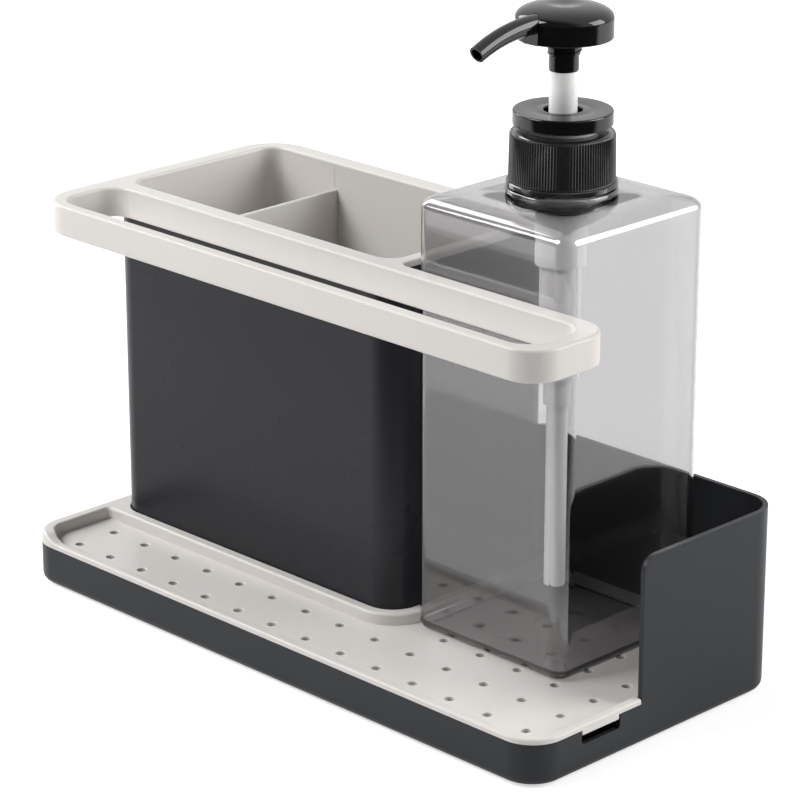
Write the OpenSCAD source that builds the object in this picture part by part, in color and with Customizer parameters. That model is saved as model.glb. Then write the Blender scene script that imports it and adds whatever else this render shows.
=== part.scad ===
// Sink-side caddy with a soap pump bottle.
// A dark base holds a pale drip tray. The tray's collar locates a tall dark container, whose pale
// organiser carries the cloth rail round the bay where the square pump bottle stands.
// Units are millimetres. X runs along the length, Y from front to back, Z up from the bench.

/* [Base] */
// Length of the base
base_l = 266; // [262:1:300]
// Width of the base from front to back
base_w = 127; // [126:1:150]
// Plan radius of the base's corners
base_r = 13; // [10:0.5:15]
// Height of the base's low wall
base_h = 15.5; // [14:0.5:24]
// Thickness of the base's walls
base_wall = 1.9; // [1.5:0.1:2.4]
// Thickness of the base's floor
base_floor = 2; // [1.6:0.1:3]
// Radius of the base's lower edge
base_edge_r = 3; // [1:0.25:3.5]

/* [Splash guard] */
// Height of the guard above the low wall
guard_h = 53.7; // [30:1:80]
// Length of the guard along the right side, from the back
guard_side = 73; // [55:1:80]
// Length of the guard along the back, from the right
guard_back = 120.6; // [60:1:125]
// Radius of the guard's top corners
guard_r = 6; // [2:0.5:12]

/* [Outlet notch] */
// Distance from the base's front to the notch
notch_front = 23.8; // [16:0.5:28]
// Width of the notch
notch_w = 19.3; // [12:0.5:22]
// Depth of the notch below the wall's top
notch_d = 5.4; // [4:0.2:7]
// Radius of the notch's lower corners
notch_r = 1.6; // [0.4:0.2:2.4]

/* [Feet] */
// Radius of a rubber foot
foot_r = 6; // [4:0.5:8]
// Height that a foot stands out of the base
foot_proud = 0.8; // [0.5:0.1:2]
// Depth that a foot is let into the base
foot_recess = 0.8; // [0.4:0.1:1]
// Distance from the base's sides to a foot's centre
foot_inset = 16; // [13:1:30]

/* [Drip tray] */
// Thickness of the tray's plate
tray_t = 2; // [1.5:0.1:2.4]
// Drop from the top of the base's wall to the tray's floor
tray_drop = 0.1; // [0:0.05:0.5]
// Height of the low lip above the base's wall
lip_h = 1.9; // [1:0.1:2.5]
// Width of the low lip's top
lip_w = 3.4; // [2.5:0.1:4]
// Width of the slope from the low lip to the tray's floor
lip_slope = 2.4; // [0.5:0.1:2.5]
// Height of the collar and of the left rim above the tray's floor
collar_h = 4.6; // [3:0.2:8]
// Width of the collar's wall
collar_w = 4.4; // [2:0.1:4.6]
// Width of the left rim
rim_w = 5.1; // [3:0.1:5.5]
// Distance from the base's left side to the ramp, which brings the rim down to the low lip
ramp_left = 7; // [5.5:0.5:14]
// Length of the ramp from the low lip to the left rim
ramp_l = 11; // [3:0.5:14]
// Radius of the inner corner between the left rim and the collar
inner_r = 2; // [0.5:0.1:4]
// Thickness of the tray behind the container
tray_back = 1.5; // [1:0.1:3]
// Bevel of the rims' outer edge
lip_edge = 0.6; // [0.2:0.1:1]
// Length of the lip that runs on inside the guard
lip_end = 4; // [0:0.5:10]

/* [Drain holes] */
// Radius of a drain hole
hole_r = 1.7; // [1:0.1:2.5]
// Spacing of the holes along the length
hole_step_x = 18; // [12:0.5:24]
// Spacing of the holes from front to back
hole_step_y = 17; // [12:0.5:24]
// Distance from the base's left side to the first hole
hole_left = 18.4; // [14:0.2:24]
// Distance from the base's front to the first row
hole_front = 10.7; // [9:0.1:14]
// Least distance from a hole to the base's right and back sides
hole_margin = 12; // [10:0.5:20]

/* [Container] */
// Length of the container
cont_l = 151.6; // [140:0.2:152]
// Width of the container from front to back
cont_w = 82.25; // [70:0.25:84]
// Height of the container
cont_h = 133.5; // [100:0.5:160]
// Plan radius of the container's corners
cont_r = 11; // [8:0.5:14]
// Thickness of the container's walls
cont_wall = 1.8; // [1.4:0.1:2]
// Thickness of the container's floor
cont_floor = 2; // [1.5:0.1:4]
// Radius of the container's lower edge
cont_edge_r = 1.2; // [0.5:0.1:2]
// Distance from the base's left side to the container
cont_left = 6.5; // [6.2:0.1:9]

/* [Organiser] */
// Height of the organiser's rim and of the rail
org_h = 11.5; // [8:0.5:20]
// Thickness of the plate over the container's top edge
org_plate = 2.2; // [1.5:0.1:4]
// Thickness of the skirt at the left and the back
skirt_t = 1.8; // [1.4:0.1:3]
// Thickness of the skirt at the front
skirt_front = 2.25; // [1.6:0.05:3]
// Distance that the organiser reaches back past the container
org_back = 3.75; // [2.2:0.05:3.9]
// Plan radius of the organiser's left corners
org_r = 16.5; // [12.5:0.5:20]
// Depth of the sleeve that hangs in the container
sleeve_h = 60; // [30:1:100]
// Thickness of the sleeve's walls
sleeve_wall = 1.8; // [1.4:0.1:1.9]
// Width of the rim to the left of the compartments
comp_left = 7.2; // [6.2:0.1:12]
// Width of the rim to the right of the compartments
comp_right = 5.9; // [4.1:0.1:12]
// Width of the rim between the rail slot and the compartments
comp_front = 7.5; // [7:0.1:12]
// Width of the rim behind the compartments
comp_back = 7.65; // [7.65:0.05:12]
// Plan radius of the compartments' corners
comp_r = 7; // [5:0.5:9]

/* [Cloth rail] */
// Width of the slot for the cloth
slot_w = 27.1; // [15:0.5:28]
// Width of the rail's front bar
bar_w = 5.3; // [4:0.1:8]
// Width of the bar between the slot and the bottle
bay_bar = 6.9; // [5:0.1:7]
// Width of the rail at its right end
rail_end = 7.3; // [5:0.1:10]
// Distance from the base's right side to the rail's end
rail_inset = 7.6; // [5:0.1:20]
// Plan radius of the rail's right corners
rail_r = 12.5; // [8:0.5:14]
// Plan radius of the slot's corners
slot_r = 9; // [4:0.5:10]
// Radius of the inner corner beside the bottle
bay_r = 3; // [1:0.25:5]

/* [Divider] */
// Distance from the left compartment's wall to the divider
div_left = 36; // [25:0.5:100]
// Thickness of the divider
div_t = 1.6; // [1.2:0.1:2.5]
// Distance from the organiser's top to the divider
div_drop = 10.7; // [2:0.1:20]
// Height of the divider
div_h = 46; // [20:0.5:48]
// Depth of the grooves that hold the divider
groove_d = 0.8; // [0.4:0.1:1.1]

/* [Bottle] */
// Width of the square bottle
bottle_w = 72; // [60:0.5:72.2]
// Height of the bottle up to its shoulder
bottle_h = 162.8; // [150:0.1:170]
// Plan radius of the bottle's corners
bottle_r = 6; // [5.5:0.25:12]
// Radius of the bottle's lower edge
bottle_low_r = 3.5; // [1.6:0.1:5]
// Radius of the shoulder's edge
shoulder_r = 5; // [1.6:0.1:5.5]
// Thickness of the bottle's walls
bottle_wall = 1.4; // [1:0.1:1.6]
// Depth of the hollow under the bottle
punt_d = 0.6; // [0.2:0.1:0.8]
// Gap between the bottle and the bar in front of it
bay_gap = 0.4; // [0.3:0.1:1]
// Gap between the bottle and the tray's collar
collar_gap = 1; // [0.5:0.1:2]

/* [Bottle neck] */
// Outer radius of the neck
neck_r = 16; // [15:0.1:16]
// Thickness of the neck's wall
neck_wall = 1.6; // [1.2:0.1:2]
// Height of the neck above the shoulder
neck_h = 19.2; // [17:0.1:24]
// Radius of the ring under the closure
ring_r = 19.7; // [18:0.1:21]
// Height of the ring
ring_h = 2.3; // [1.5:0.1:6.2]
// Height of the neck's foot under the ring
neck_foot_h = 0.4; // [0.2:0.1:2.4]
// Radius of the neck's foot
neck_foot_r = 17.4; // [16.5:0.1:18]

/* [Closure] */
// Outer radius of the ribs
rib_r = 18.6; // [18:0.1:19]
// Depth of the ribs
rib_d = 0.35; // [0.2:0.05:0.6]
// Number of ribs
rib_count = 112; // [60:1:130]
// Radius of the smooth band at the bottom
band_r = 19.3; // [18.7:0.1:20]
// Height of the smooth band
band_h = 2.2; // [1:0.1:4]
// Gap between the neck's ring and the closure
closure_gap = 0.2; // [0.2:0.1:1]
// Thickness of the closure's top
closure_top = 1.4; // [1:0.1:2]
// Drop of the bevel round the closure's top
closure_bevel = 1.6; // [0.5:0.1:2.2]
// Width of the closure's inner lip over the pump's flange
closure_lip = 3.8; // [3:0.1:5]

/* [Pump body] */
// Thickness of the neck gasket
gasket_t = 1; // [0.6:0.1:2]
// Thickness of the housing's flange
flange_t = 1.5; // [1:0.1:2]
// Outer radius of the housing's cup
cup_r = 8.8; // [8.6:0.1:10]
// Length of the cup below the flange
cup_l = 45.6; // [40:0.2:50]
// Outer radius of the housing's barrel
barrel_r = 7.1; // [7:0.1:7.4]
// Length of the barrel below the cup
barrel_l = 41.6; // [41:0.2:44]
// Thickness of the housing's walls
housing_wall = 1.15; // [1:0.05:1.2]
// Height of the stem guide above the flange
guide_h = 2.7; // [2:0.1:4]
// Depth that the stem guide reaches into the cup
guide_plug = 12; // [6:0.5:14]
// Radius of the lock disc
disc_r = 17.4; // [16:0.1:19]
// Thickness of the lock disc
disc_t = 5.2; // [4:0.1:7]
// Radius of the lock disc's hole
disc_hole_r = 6.75; // [6.6:0.05:8]
// Thickness of the lock disc's floor
disc_floor = 1; // [0.6:0.1:1.2]

/* [Pump inlet] */
// Radius of the inlet ball
ball_r = 2.2; // [2:0.1:2.4]
// Lift of the inlet ball
ball_lift = 1.5; // [1:0.1:1.8]
// Radius of the inlet hole
inlet_r = 1.5; // [1:0.1:1.7]
// Outer radius of the dip tube
tube_r = 4; // [3:0.1:4.2]
// Thickness of the dip tube's wall
tube_wall = 1; // [0.6:0.1:1.2]
// Gap between the dip tube's end and the bottle's floor
tube_gap = 16; // [3:0.5:30]
// Length of the nipple that holds the dip tube
nipple_l = 10; // [6:0.5:14]
// Thickness of the nipple's wall
nipple_wall = 1.2; // [0.8:0.1:1.6]

/* [Stem and piston] */
// Travel of the pump
stroke = 22; // [10:0.5:22]
// Outer radius of the stem
stem_r = 4.95; // [4.6:0.05:5]
// Outer radius of the stem's spigot in the nozzle
spigot_r = 3.8; // [3.4:0.1:4]
// Length of the spigot
spigot_l = 8; // [4:0.5:9]
// Radius of the bore through the stem
stem_bore_r = 2.4; // [1.5:0.1:2.4]
// Length of stem that shows at rest
stem_show = 13.5; // [13:0.1:16]
// Height of the piston
piston_h = 6; // [4:0.2:6]
// Radius of the rod between the stem and the piston
rod_r = 3.2; // [3:0.1:3.6]
// Depth of the piston's top below the barrel's top
piston_drop = 1.6; // [0.5:0.1:1.6]

/* [Return spring] */
// Radius of the spring's coil at the wire's centre
spring_r = 4.9; // [4.4:0.1:5.1]
// Thickness of the spring's wire
wire_d = 0.8; // [0.6:0.05:0.8]
// Number of turns
spring_turns = 5; // [4:1:5]

/* [Pump head] */
// Radius of the socket over the stem
socket_r = 5.2; // [5.1:0.05:5.3]
// Height of the socket
socket_h = 5.7; // [4:0.1:8]
// Radius of the lock-down thread
thread_r = 6.1; // [5.8:0.1:6.3]
// Height of the lock-down thread
thread_h = 5.9; // [5.2:0.1:8]
// Radius of the head
head_r = 16.9; // [15:0.1:19]
// Height of the head's side wall
head_side = 6.5; // [6:0.1:8]
// Rise of the dome above the side wall
head_dome = 5.5; // [4:0.1:8]
// Thickness of the head's shell
head_wall = 1.3; // [1:0.1:1.6]
// Depth of the finger dish
dish_d = 0.8; // [0.2:0.1:1]
// Radius of the finger dish at the surface
dish_w = 7; // [5:0.5:9]
// Reach of the spout from the stem's axis
spout_reach = 42.6; // [36:0.2:43]
// Outer radius of the spout
spout_r = 3.4; // [3:0.1:3.4]
// Radius of the spout's bore
spout_bore_r = 2.3; // [1.5:0.1:2.3]
// Height of the spout's axis above the head's rim
spout_z = 6.7; // [6.4:0.1:7]
// Length of the straight part of the spout from the stem's axis
spout_straight = 17; // [17:0.1:20]
// Radius of the bend in the spout
spout_bend = 60; // [55:1:90]
// Clearance between the spout's root and the cap
cap_fit = 0.15; // [0.1:0.05:0.3]

/* [Hidden] */

$fn = 48;

// Clearance between pieces that lift out of each other
fit = 0.3;
// Radial clearance of a piece that slides or turns in a bore
running_fit = 0.05;
// Radial clearance of a piece that is pressed into place
push_fit = 0.02;
// Overrun of every cut
over = 1;

// Heights above the bench
z_base = foot_proud;
z_wall = z_base + base_h;
z_drain = z_wall - tray_drop;
z_tray_low = z_drain - tray_t;
z_lip = z_wall + lip_h;
z_collar = z_drain + collar_h;
z_guard = z_wall + guard_h;
z_cont_top = z_drain + cont_h;
z_org_top = z_cont_top + org_plate;
z_org_low = z_org_top - org_h;
z_sleeve_low = z_org_top - sleeve_h;
z_shoulder = z_drain + bottle_h;
z_ring_low = z_shoulder + neck_foot_h;
z_ring_top = z_ring_low + ring_h;
z_neck_top = z_shoulder + neck_h;
z_closure_low = z_ring_top + closure_gap;
z_gasket_top = z_neck_top + gasket_t;
z_flange_top = z_gasket_top + flange_t;
z_closure_top = z_flange_top + running_fit + closure_top;
z_disc_low = z_flange_top + guide_h;
z_disc_top = z_disc_low + disc_t;
z_socket_low = z_disc_top + stem_show;
z_thread_low = z_socket_low + socket_h;
z_head_low = z_thread_low + thread_h;
z_spout = z_head_low + spout_z;
z_side_top = z_head_low + head_side;
z_crown = z_side_top + head_dome;

// Heights inside the pump
z_cup_low = z_gasket_top - cup_l;
z_barrel_low = z_cup_low - barrel_l;
z_nipple_low = z_barrel_low - nipple_l;
barrel_in = barrel_r - housing_wall;
cup_in = cup_r - housing_wall;
ball_clear = 0.3;
cage_r = ball_r + ball_clear;
seat_slope = 1.5;
inlet_land = 1.5;
z_seat_low = z_barrel_low + inlet_land;
z_seat_top = z_seat_low + (cage_r - inlet_r) * seat_slope;
z_seat_apex = z_seat_low - inlet_r * seat_slope;
z_ball = z_seat_apex + ball_r / sin(atan(1 / seat_slope)) + running_fit;
z_cage_top = z_ball + ball_r + ball_lift + running_fit;
cage_ring_t = 0.6;
cage_ring_lap = 0.6;
cage_ring_r = ball_r - cage_ring_lap;
z_spring_low = z_cage_top + cage_ring_t;
z_piston_top = z_cup_low - piston_drop;
z_piston_low = z_piston_top - piston_h;
z_tube_low = z_drain + bottle_wall + tube_gap;
z_tube_top = z_barrel_low - cage_ring_t;
guide_r = neck_r - closure_lip;

// The base's outline, its inside and the guard's ends
base_x0 = -base_l / 2;
base_x1 = base_l / 2;
base_y0 = -base_w / 2;
base_y1 = base_w / 2;
guard_x0 = base_x1 - guard_back;
guard_y0 = base_y1 - guard_side;
notch_y0 = base_y0 + notch_front;

// The container stands at the back left, clear of the tray's edge behind it
cont_x0 = base_x0 + cont_left;
cont_x1 = cont_x0 + cont_l;
cont_y1 = base_y1 - base_wall - fit - tray_back - fit;
cont_y0 = cont_y1 - cont_w;

// The organiser's outline, with the rail in front and the compartments behind
org_x0 = cont_x0 - fit - skirt_t;
org_x1 = cont_x1;
org_y1 = cont_y1 + org_back;
slot_y1 = cont_y0 - fit - skirt_front;
slot_y0 = slot_y1 - slot_w;
rail_y0 = slot_y0 - bar_w;
rail_x1 = base_x1 - rail_inset;
slot_x0 = org_x0 + comp_left;
slot_x1 = rail_x1 - rail_end;
bay_y = slot_y1 + bay_bar;
comp_x0 = org_x0 + comp_left;
comp_x1 = org_x1 - comp_right;
comp_y0 = slot_y1 + comp_front;
comp_y1 = org_y1 - comp_back;
div_x = comp_x0 + div_left;
div_top = z_org_top - div_drop;

// The bottle stands in the bay, beside the collar and behind the bar
collar_x1 = cont_x1 + fit + collar_w;
bottle_x0 = collar_x1 + collar_gap;
bottle_x1 = bottle_x0 + bottle_w;
bottle_y0 = bay_y + bay_gap;
bottle_y1 = bottle_y0 + bottle_w;
axis_x = (bottle_x0 + bottle_x1) / 2;
axis_y = (bottle_y0 + bottle_y1) / 2;
bore_r = neck_r - neck_wall;

// Colours
dark = "#3f4246";
pale = "#dad7d3";
smoke = [0.55, 0.55, 0.57, 0.45];
gloss_black = "#1b1b1c";
white = "#f0f0ee";
steel = "#b9bcc0";
rubber = "#2c2d2f";

// A rectangle with round corners, from one corner to the other, grown by g on every side
module plan(x0, y0, x1, y1, r, g = 0) {
    rg = r + g;
    translate([x0 - g + rg, y0 - g]) square([x1 - x0 + 2 * g - 2 * rg, y1 - y0 + 2 * g]);
    translate([x0 - g, y0 - g + rg]) square([x1 - x0 + 2 * g, y1 - y0 + 2 * g - 2 * rg]);
    for (x = [x0 - g + rg, x1 + g - rg], y = [y0 - g + rg, y1 + g - rg])
        translate([x, y]) circle(rg);
}

// A plan shape between two heights
module slab(z0, z1) {
    translate([0, 0, z0]) linear_extrude(z1 - z0) children();
}

// The points of a quarter round from one angle to the next
arc_steps = 6;
function quarter(x, y, r, a0) = [for (i = [0:arc_steps])
    let(a = a0 + 90 * i / arc_steps) [x + r * cos(a), y + r * sin(a)]];

// The section through a block's edge, from r inside it outwards, with its edges rounded
module edge_section(r, z0, z1, low, top) {
    lower = quarter(r - low, z0 + low, low, -90);
    upper = top > 0 ? quarter(r - top, z1 - top, top, 0) : [[r, z1]];
    polygon(concat([[0, z0]], lower, upper, [[0, z1]]));
}

// A block with round corners, a rounded lower edge and, if asked, a rounded upper edge
module soft_block(x0, y0, x1, y1, z0, z1, r, low, top = 0) {
    xc = [x0 + r, x1 - r];
    yc = [y0 + r, y1 - r];
    length = xc[1] - xc[0];
    depth = yc[1] - yc[0];
    translate([xc[0], yc[0], z0]) cube([length, depth, z1 - z0]);
    translate([xc[0], yc[1], 0]) rotate([90, 0, 90]) linear_extrude(length) edge_section(r, z0, z1, low, top);
    translate([xc[1], yc[0], 0]) rotate([90, 0, -90]) linear_extrude(length) edge_section(r, z0, z1, low, top);
    translate([xc[1], yc[1], 0]) rotate([90, 0, 0]) linear_extrude(depth) edge_section(r, z0, z1, low, top);
    translate([xc[0], yc[0], 0]) rotate([90, 0, 180]) linear_extrude(depth) edge_section(r, z0, z1, low, top);
    for (i = [0, 1], j = [0, 1])
        translate([xc[i], yc[j], 0]) rotate([0, 0, i == 1 ? (j == 1 ? 0 : 270) : (j == 1 ? 90 : 180)])
            rotate_extrude(angle = 90) edge_section(r, z0, z1, low, top);
}

// The base's plan, and the plan of its inside with a gap left to the wall
module base_plan() plan(base_x0, base_y0, base_x1, base_y1, base_r);
module base_inside(gap = 0) plan(base_x0, base_y0, base_x1, base_y1, base_r, -base_wall - gap);

// The container's plan, grown by a gap
module cont_plan(gap = 0) plan(cont_x0, cont_y0, cont_x1, cont_y1, cont_r, gap);

// What rounds a wall's top corner away: drawn in the wall's own plane, cutting towards minus x
module corner_cut() {
    difference() {
        translate([-over, -guard_r]) square([guard_r + over, guard_r + over]);
        translate([guard_r, -guard_r]) circle(guard_r);
    }
}

module splash_guard() {
    difference() {
        slab(z_base + base_h / 2, z_guard) intersection() {
            difference() {
                base_plan();
                base_inside();
            }
            translate([guard_x0, guard_y0]) square([base_l, base_w]);
        }
        translate([base_x1 - base_r, guard_y0, z_guard]) rotate([90, 0, 90])
            linear_extrude(base_r + over) corner_cut();
        translate([guard_x0, base_y1 + over, z_guard]) rotate([90, 0, 0])
            linear_extrude(base_r + over) corner_cut();
    }
}

module notch_cut() {
    z0 = z_wall - notch_d;
    translate([base_x1 - base_wall - over, 0, 0]) rotate([90, 0, 90])
        linear_extrude(base_wall + 2 * over) {
            for (y = [notch_y0 + notch_r, notch_y0 + notch_w - notch_r])
                translate([y, z0 + notch_r]) circle(notch_r);
            translate([notch_y0 + notch_r, z0]) square([notch_w - 2 * notch_r, notch_d + over]);
            translate([notch_y0, z0 + notch_r]) square([notch_w, notch_d - notch_r + over]);
        }
}

// Ledges on the guard's inner faces, which carry the tray where it has no lip
ledge_t = 2;
ledge_d = 3;
ledge_shares = [0.25, 0.6];
module tray_ledges() {
    z0 = z_base + base_floor / 2;
    h = z_tray_low - z0;
    for (s = ledge_shares) {
        translate([base_x1 - base_wall - ledge_d, guard_y0 + s * guard_side, z0])
            cube([ledge_d + base_wall / 2, ledge_t, h]);
        translate([guard_x0 + s * guard_back, base_y1 - base_wall - ledge_d, z0])
            cube([ledge_t, ledge_d + base_wall / 2, h]);
    }
}

module base_tray() color(dark) {
    difference() {
        union() {
            difference() {
                soft_block(base_x0, base_y0, base_x1, base_y1, z_base, z_wall, base_r, base_edge_r);
                slab(z_base + base_floor, z_wall + over) base_inside();
            }
            splash_guard();
            tray_ledges();
        }
        notch_cut();
        for (x = [-1, 1], y = [-1, 1])
            translate([x * (base_x1 - foot_inset), y * (base_y1 - foot_inset), z_base - over])
                cylinder(r = foot_r + push_fit, h = foot_recess + over);
    }
}

// A foot, given the sides of the base that it stands near
module foot(side_x, side_y) color(rubber)
    translate([side_x * (base_x1 - foot_inset), side_y * (base_y1 - foot_inset), 0])
        cylinder(r = foot_r, h = foot_proud + foot_recess);

// The guard's footprint with clearance, which the tray keeps out of
module guard_zone() {
    difference() {
        translate([guard_x0 - fit, guard_y0 - fit]) square([base_l, base_w]);
        base_inside(fit);
    }
}

// Runs of a section: along the front and the right, and round the corner between them
module front_run(x0, x1) translate([x1, base_y0 + base_r, 0]) rotate([90, 0, -90]) linear_extrude(x1 - x0) children();
module right_run(y0, y1) translate([base_x1 - base_r, y1, 0]) rotate([90, 0, 0]) linear_extrude(y1 - y0) children();
module corner_run() translate([base_x1 - base_r, base_y0 + base_r, 0]) rotate([0, 0, 270])
    rotate_extrude(angle = 90) children();

// The air over the low lip: above its flat top, and down the slope to the tray's floor
module over_lip() {
    r = base_r;
    foot = r - lip_w - lip_slope;
    polygon([[foot - lip_slope, z_drain], [foot, z_drain], [r - lip_w, z_lip], [r - lip_edge, z_lip],
             [r, z_lip - lip_edge], [r + over, z_lip - lip_edge], [r + over, z_collar + over],
             [foot - lip_slope, z_collar + over]]);
}

// The rim before the low lip is cut: as high as the collar all round, with an upright inner face
module high_rim() {
    slab(z_wall, z_collar) difference() {
        base_plan();
        plan(base_x0, base_y0, base_x1, base_y1, base_r, -rim_w);
    }
    slab(z_drain - tray_t / 2, z_wall + lip_h / 2) difference() {
        base_inside(fit);
        plan(base_x0, base_y0, base_x1, base_y1, base_r, -rim_w);
    }
}

// What brings the rim down to the low lip: a ramp round the front left corner, then the whole run
module lip_cut() {
    x0 = base_x0 + ramp_left;
    x1 = x0 + ramp_l;
    front_run(x1, base_x1 - base_r) over_lip();
    corner_run() over_lip();
    right_run(base_y0 + base_r, guard_y0 + lip_end) over_lip();
    translate([0, base_y0 + base_r, 0]) rotate([90, 0, 0]) linear_extrude(base_r + over)
        polygon([[x0, z_collar], [x1 + over, z_lip], [x1 + over, z_collar + over], [x0, z_collar + over]]);
}

// What clears the rim away along the inside of the guard, past the end of the lip
module guard_side_cut() {
    translate([guard_x0, base_y1 - base_r, z_drain]) cube([base_l, base_r, collar_h + over]);
    translate([base_x1 - base_r, guard_y0 + lip_end, z_drain]) cube([base_r, base_w, collar_h + over]);
}

// The tab that fills the top of the outlet notch and keeps the tray from turning
module outlet_tab() {
    translate([base_x1 - base_wall - 2 * fit, notch_y0 + fit, z_tray_low])
        cube([base_wall + 2 * fit, notch_w - 2 * fit, z_wall + lip_h / 2 - z_tray_low]);
}

// The collar round the container, joined to the rims at its left and its back
module collar() {
    front = cont_y0 - fit - collar_w;
    slab(z_drain - tray_t / 2, z_collar) intersection() {
        union() {
            cont_plan(fit + collar_w);
            translate([base_x0, cont_y0 - fit - collar_w]) square([cont_left + cont_r, base_w]);
            translate([base_x0, cont_y1 - cont_r]) square([cont_left + cont_l, base_w]);
            difference() {
                translate([base_x0, front - inner_r]) square([rim_w + inner_r, 2 * inner_r]);
                translate([base_x0 + rim_w + inner_r, front - inner_r]) circle(inner_r);
            }
        }
        base_inside(fit);
    }
}

// Two rows along the front, and a whole grid beside the collar
module drain_holes() {
    columns = floor((base_l - hole_left - hole_margin) / hole_step_x);
    rows = floor((base_w - hole_front - hole_margin) / hole_step_y);
    for (i = [0:columns], j = [0:rows]) {
        x = base_x0 + hole_left + i * hole_step_x;
        y = base_y0 + hole_front + j * hole_step_y;
        before_collar = y + 2 * hole_r < cont_y0 - fit - collar_w;
        beside_collar = x - 2 * hole_r > collar_x1;
        if (before_collar || beside_collar)
            translate([x, y, z_tray_low - over]) cylinder(r = hole_r, h = tray_t + 2 * over, $fn = 24);
    }
}

module drip_tray() color(pale) {
    difference() {
        union() {
            slab(z_tray_low, z_drain) base_inside(fit);
            difference() {
                high_rim();
                lip_cut();
                guard_side_cut();
            }
            collar();
            outlet_tab();
        }
        slab(z_tray_low - over, z_collar + over) guard_zone();
        slab(z_drain, z_collar + over) cont_plan(fit);
        drain_holes();
    }
}

module container() color(dark) {
    difference() {
        soft_block(cont_x0, cont_y0, cont_x1, cont_y1, z_drain, z_cont_top, cont_r, cont_edge_r);
        slab(z_drain + cont_floor, z_cont_top + over) cont_plan(-cont_wall);
    }
}

// The organiser's plan: the body over the container, the rail in front of it and of the open bay
module organiser_plan() {
    intersection() {
        plan(org_x0, rail_y0, org_x1 + org_r, org_y1, org_r);
        plan(org_x0 - org_r, rail_y0 - org_r, org_x1, org_y1, cont_r);
    }
    intersection() {
        plan(org_x0, rail_y0, org_x1 + base_l, org_y1, org_r);
        plan(org_x0 - org_r, rail_y0, rail_x1, bay_y, rail_r);
    }
    difference() {
        translate([org_x1 - over, bay_y - over]) square([bay_r + over, bay_r + over]);
        translate([org_x1 + bay_r, bay_y + bay_r]) circle(bay_r);
    }
}

module comp_plan(grow = 0) plan(comp_x0, comp_y0, comp_x1, comp_y1, comp_r, grow);

module organiser() color(pale) {
    difference() {
        union() {
            difference() {
                slab(z_org_low, z_org_top) organiser_plan();
                slab(z_org_low - over, z_cont_top) cont_plan(fit);
            }
            slab(z_sleeve_low, z_org_top - org_plate / 2) comp_plan(sleeve_wall);
        }
        slab(z_sleeve_low - over, z_org_top + over) comp_plan();
        slab(z_org_low - over, z_org_top + over) plan(slot_x0, slot_y0, slot_x1, slot_y1, slot_r);
        translate([div_x - div_t / 2 - fit / 2, comp_y0 - groove_d, div_top - div_h])
            cube([div_t + fit, comp_y1 - comp_y0 + 2 * groove_d, div_drop + div_h + over]);
    }
}

module compartment_divider() color(pale) {
    reach = groove_d - fit / 2;
    translate([div_x - div_t / 2, comp_y0 - reach, div_top - div_h])
        cube([div_t, comp_y1 - comp_y0 + 2 * reach, div_h]);
}

// The bottle's inner edges follow its outer ones, and stay rounded where the wall is thick
inner_edge_least = 0.4;
module bottle() color(smoke) {
    inner_low = max(bottle_low_r - bottle_wall, inner_edge_least);
    inner_top = max(shoulder_r - bottle_wall, inner_edge_least);
    w = bottle_wall;
    difference() {
        union() {
            soft_block(bottle_x0, bottle_y0, bottle_x1, bottle_y1, z_drain, z_shoulder,
                       bottle_r, bottle_low_r, shoulder_r);
            translate([axis_x, axis_y, z_shoulder - w / 2]) {
                cylinder(r = neck_foot_r, h = neck_foot_h + w);
                cylinder(r = neck_r, h = neck_h + w / 2);
            }
            translate([axis_x, axis_y, z_ring_low]) cylinder(r = ring_r, h = ring_h);
        }
        soft_block(bottle_x0 + w, bottle_y0 + w, bottle_x1 - w, bottle_y1 - w,
                   z_drain + w + punt_d, z_shoulder - w, bottle_r - w, inner_low, inner_top);
        translate([axis_x, axis_y, z_shoulder - w - over]) cylinder(r = bore_r, h = neck_h + w + 2 * over);
        slab(z_drain - over, z_drain + punt_d)
            plan(bottle_x0, bottle_y0, bottle_x1, bottle_y1, bottle_r, -bottle_low_r);
    }
}

// A ring of fine grooves, drawn as one outline that steps in and out
function rib_outline() = [for (i = [0:2 * rib_count - 1])
    let(a = 180 * i / rib_count, r = i % 2 == 0 ? rib_r : rib_r - rib_d) [r * cos(a), r * sin(a)]];

module closure_collar() color(gloss_black) translate([axis_x, axis_y, 0]) {
    z_rib_top = z_closure_top - closure_bevel;
    difference() {
        union() {
            translate([0, 0, z_closure_low]) cylinder(r = band_r, h = band_h);
            slab(z_closure_low + band_h / 2, z_rib_top) polygon(rib_outline());
            translate([0, 0, z_rib_top])
                cylinder(r1 = rib_r - 2 * rib_d, r2 = rib_r - closure_bevel, h = closure_bevel);
        }
        translate([0, 0, z_closure_low - over])
            cylinder(r = neck_r + fit, h = z_flange_top + running_fit - z_closure_low + over);
        translate([0, 0, z_closure_low]) cylinder(r = guide_r + fit, h = z_closure_top - z_closure_low + over);
    }
}

module neck_gasket() color(white) translate([axis_x, axis_y, z_neck_top]) difference() {
    cylinder(r = neck_r, h = gasket_t);
    translate([0, 0, -over]) cylinder(r = cup_r + fit, h = gasket_t + 2 * over);
}

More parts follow.
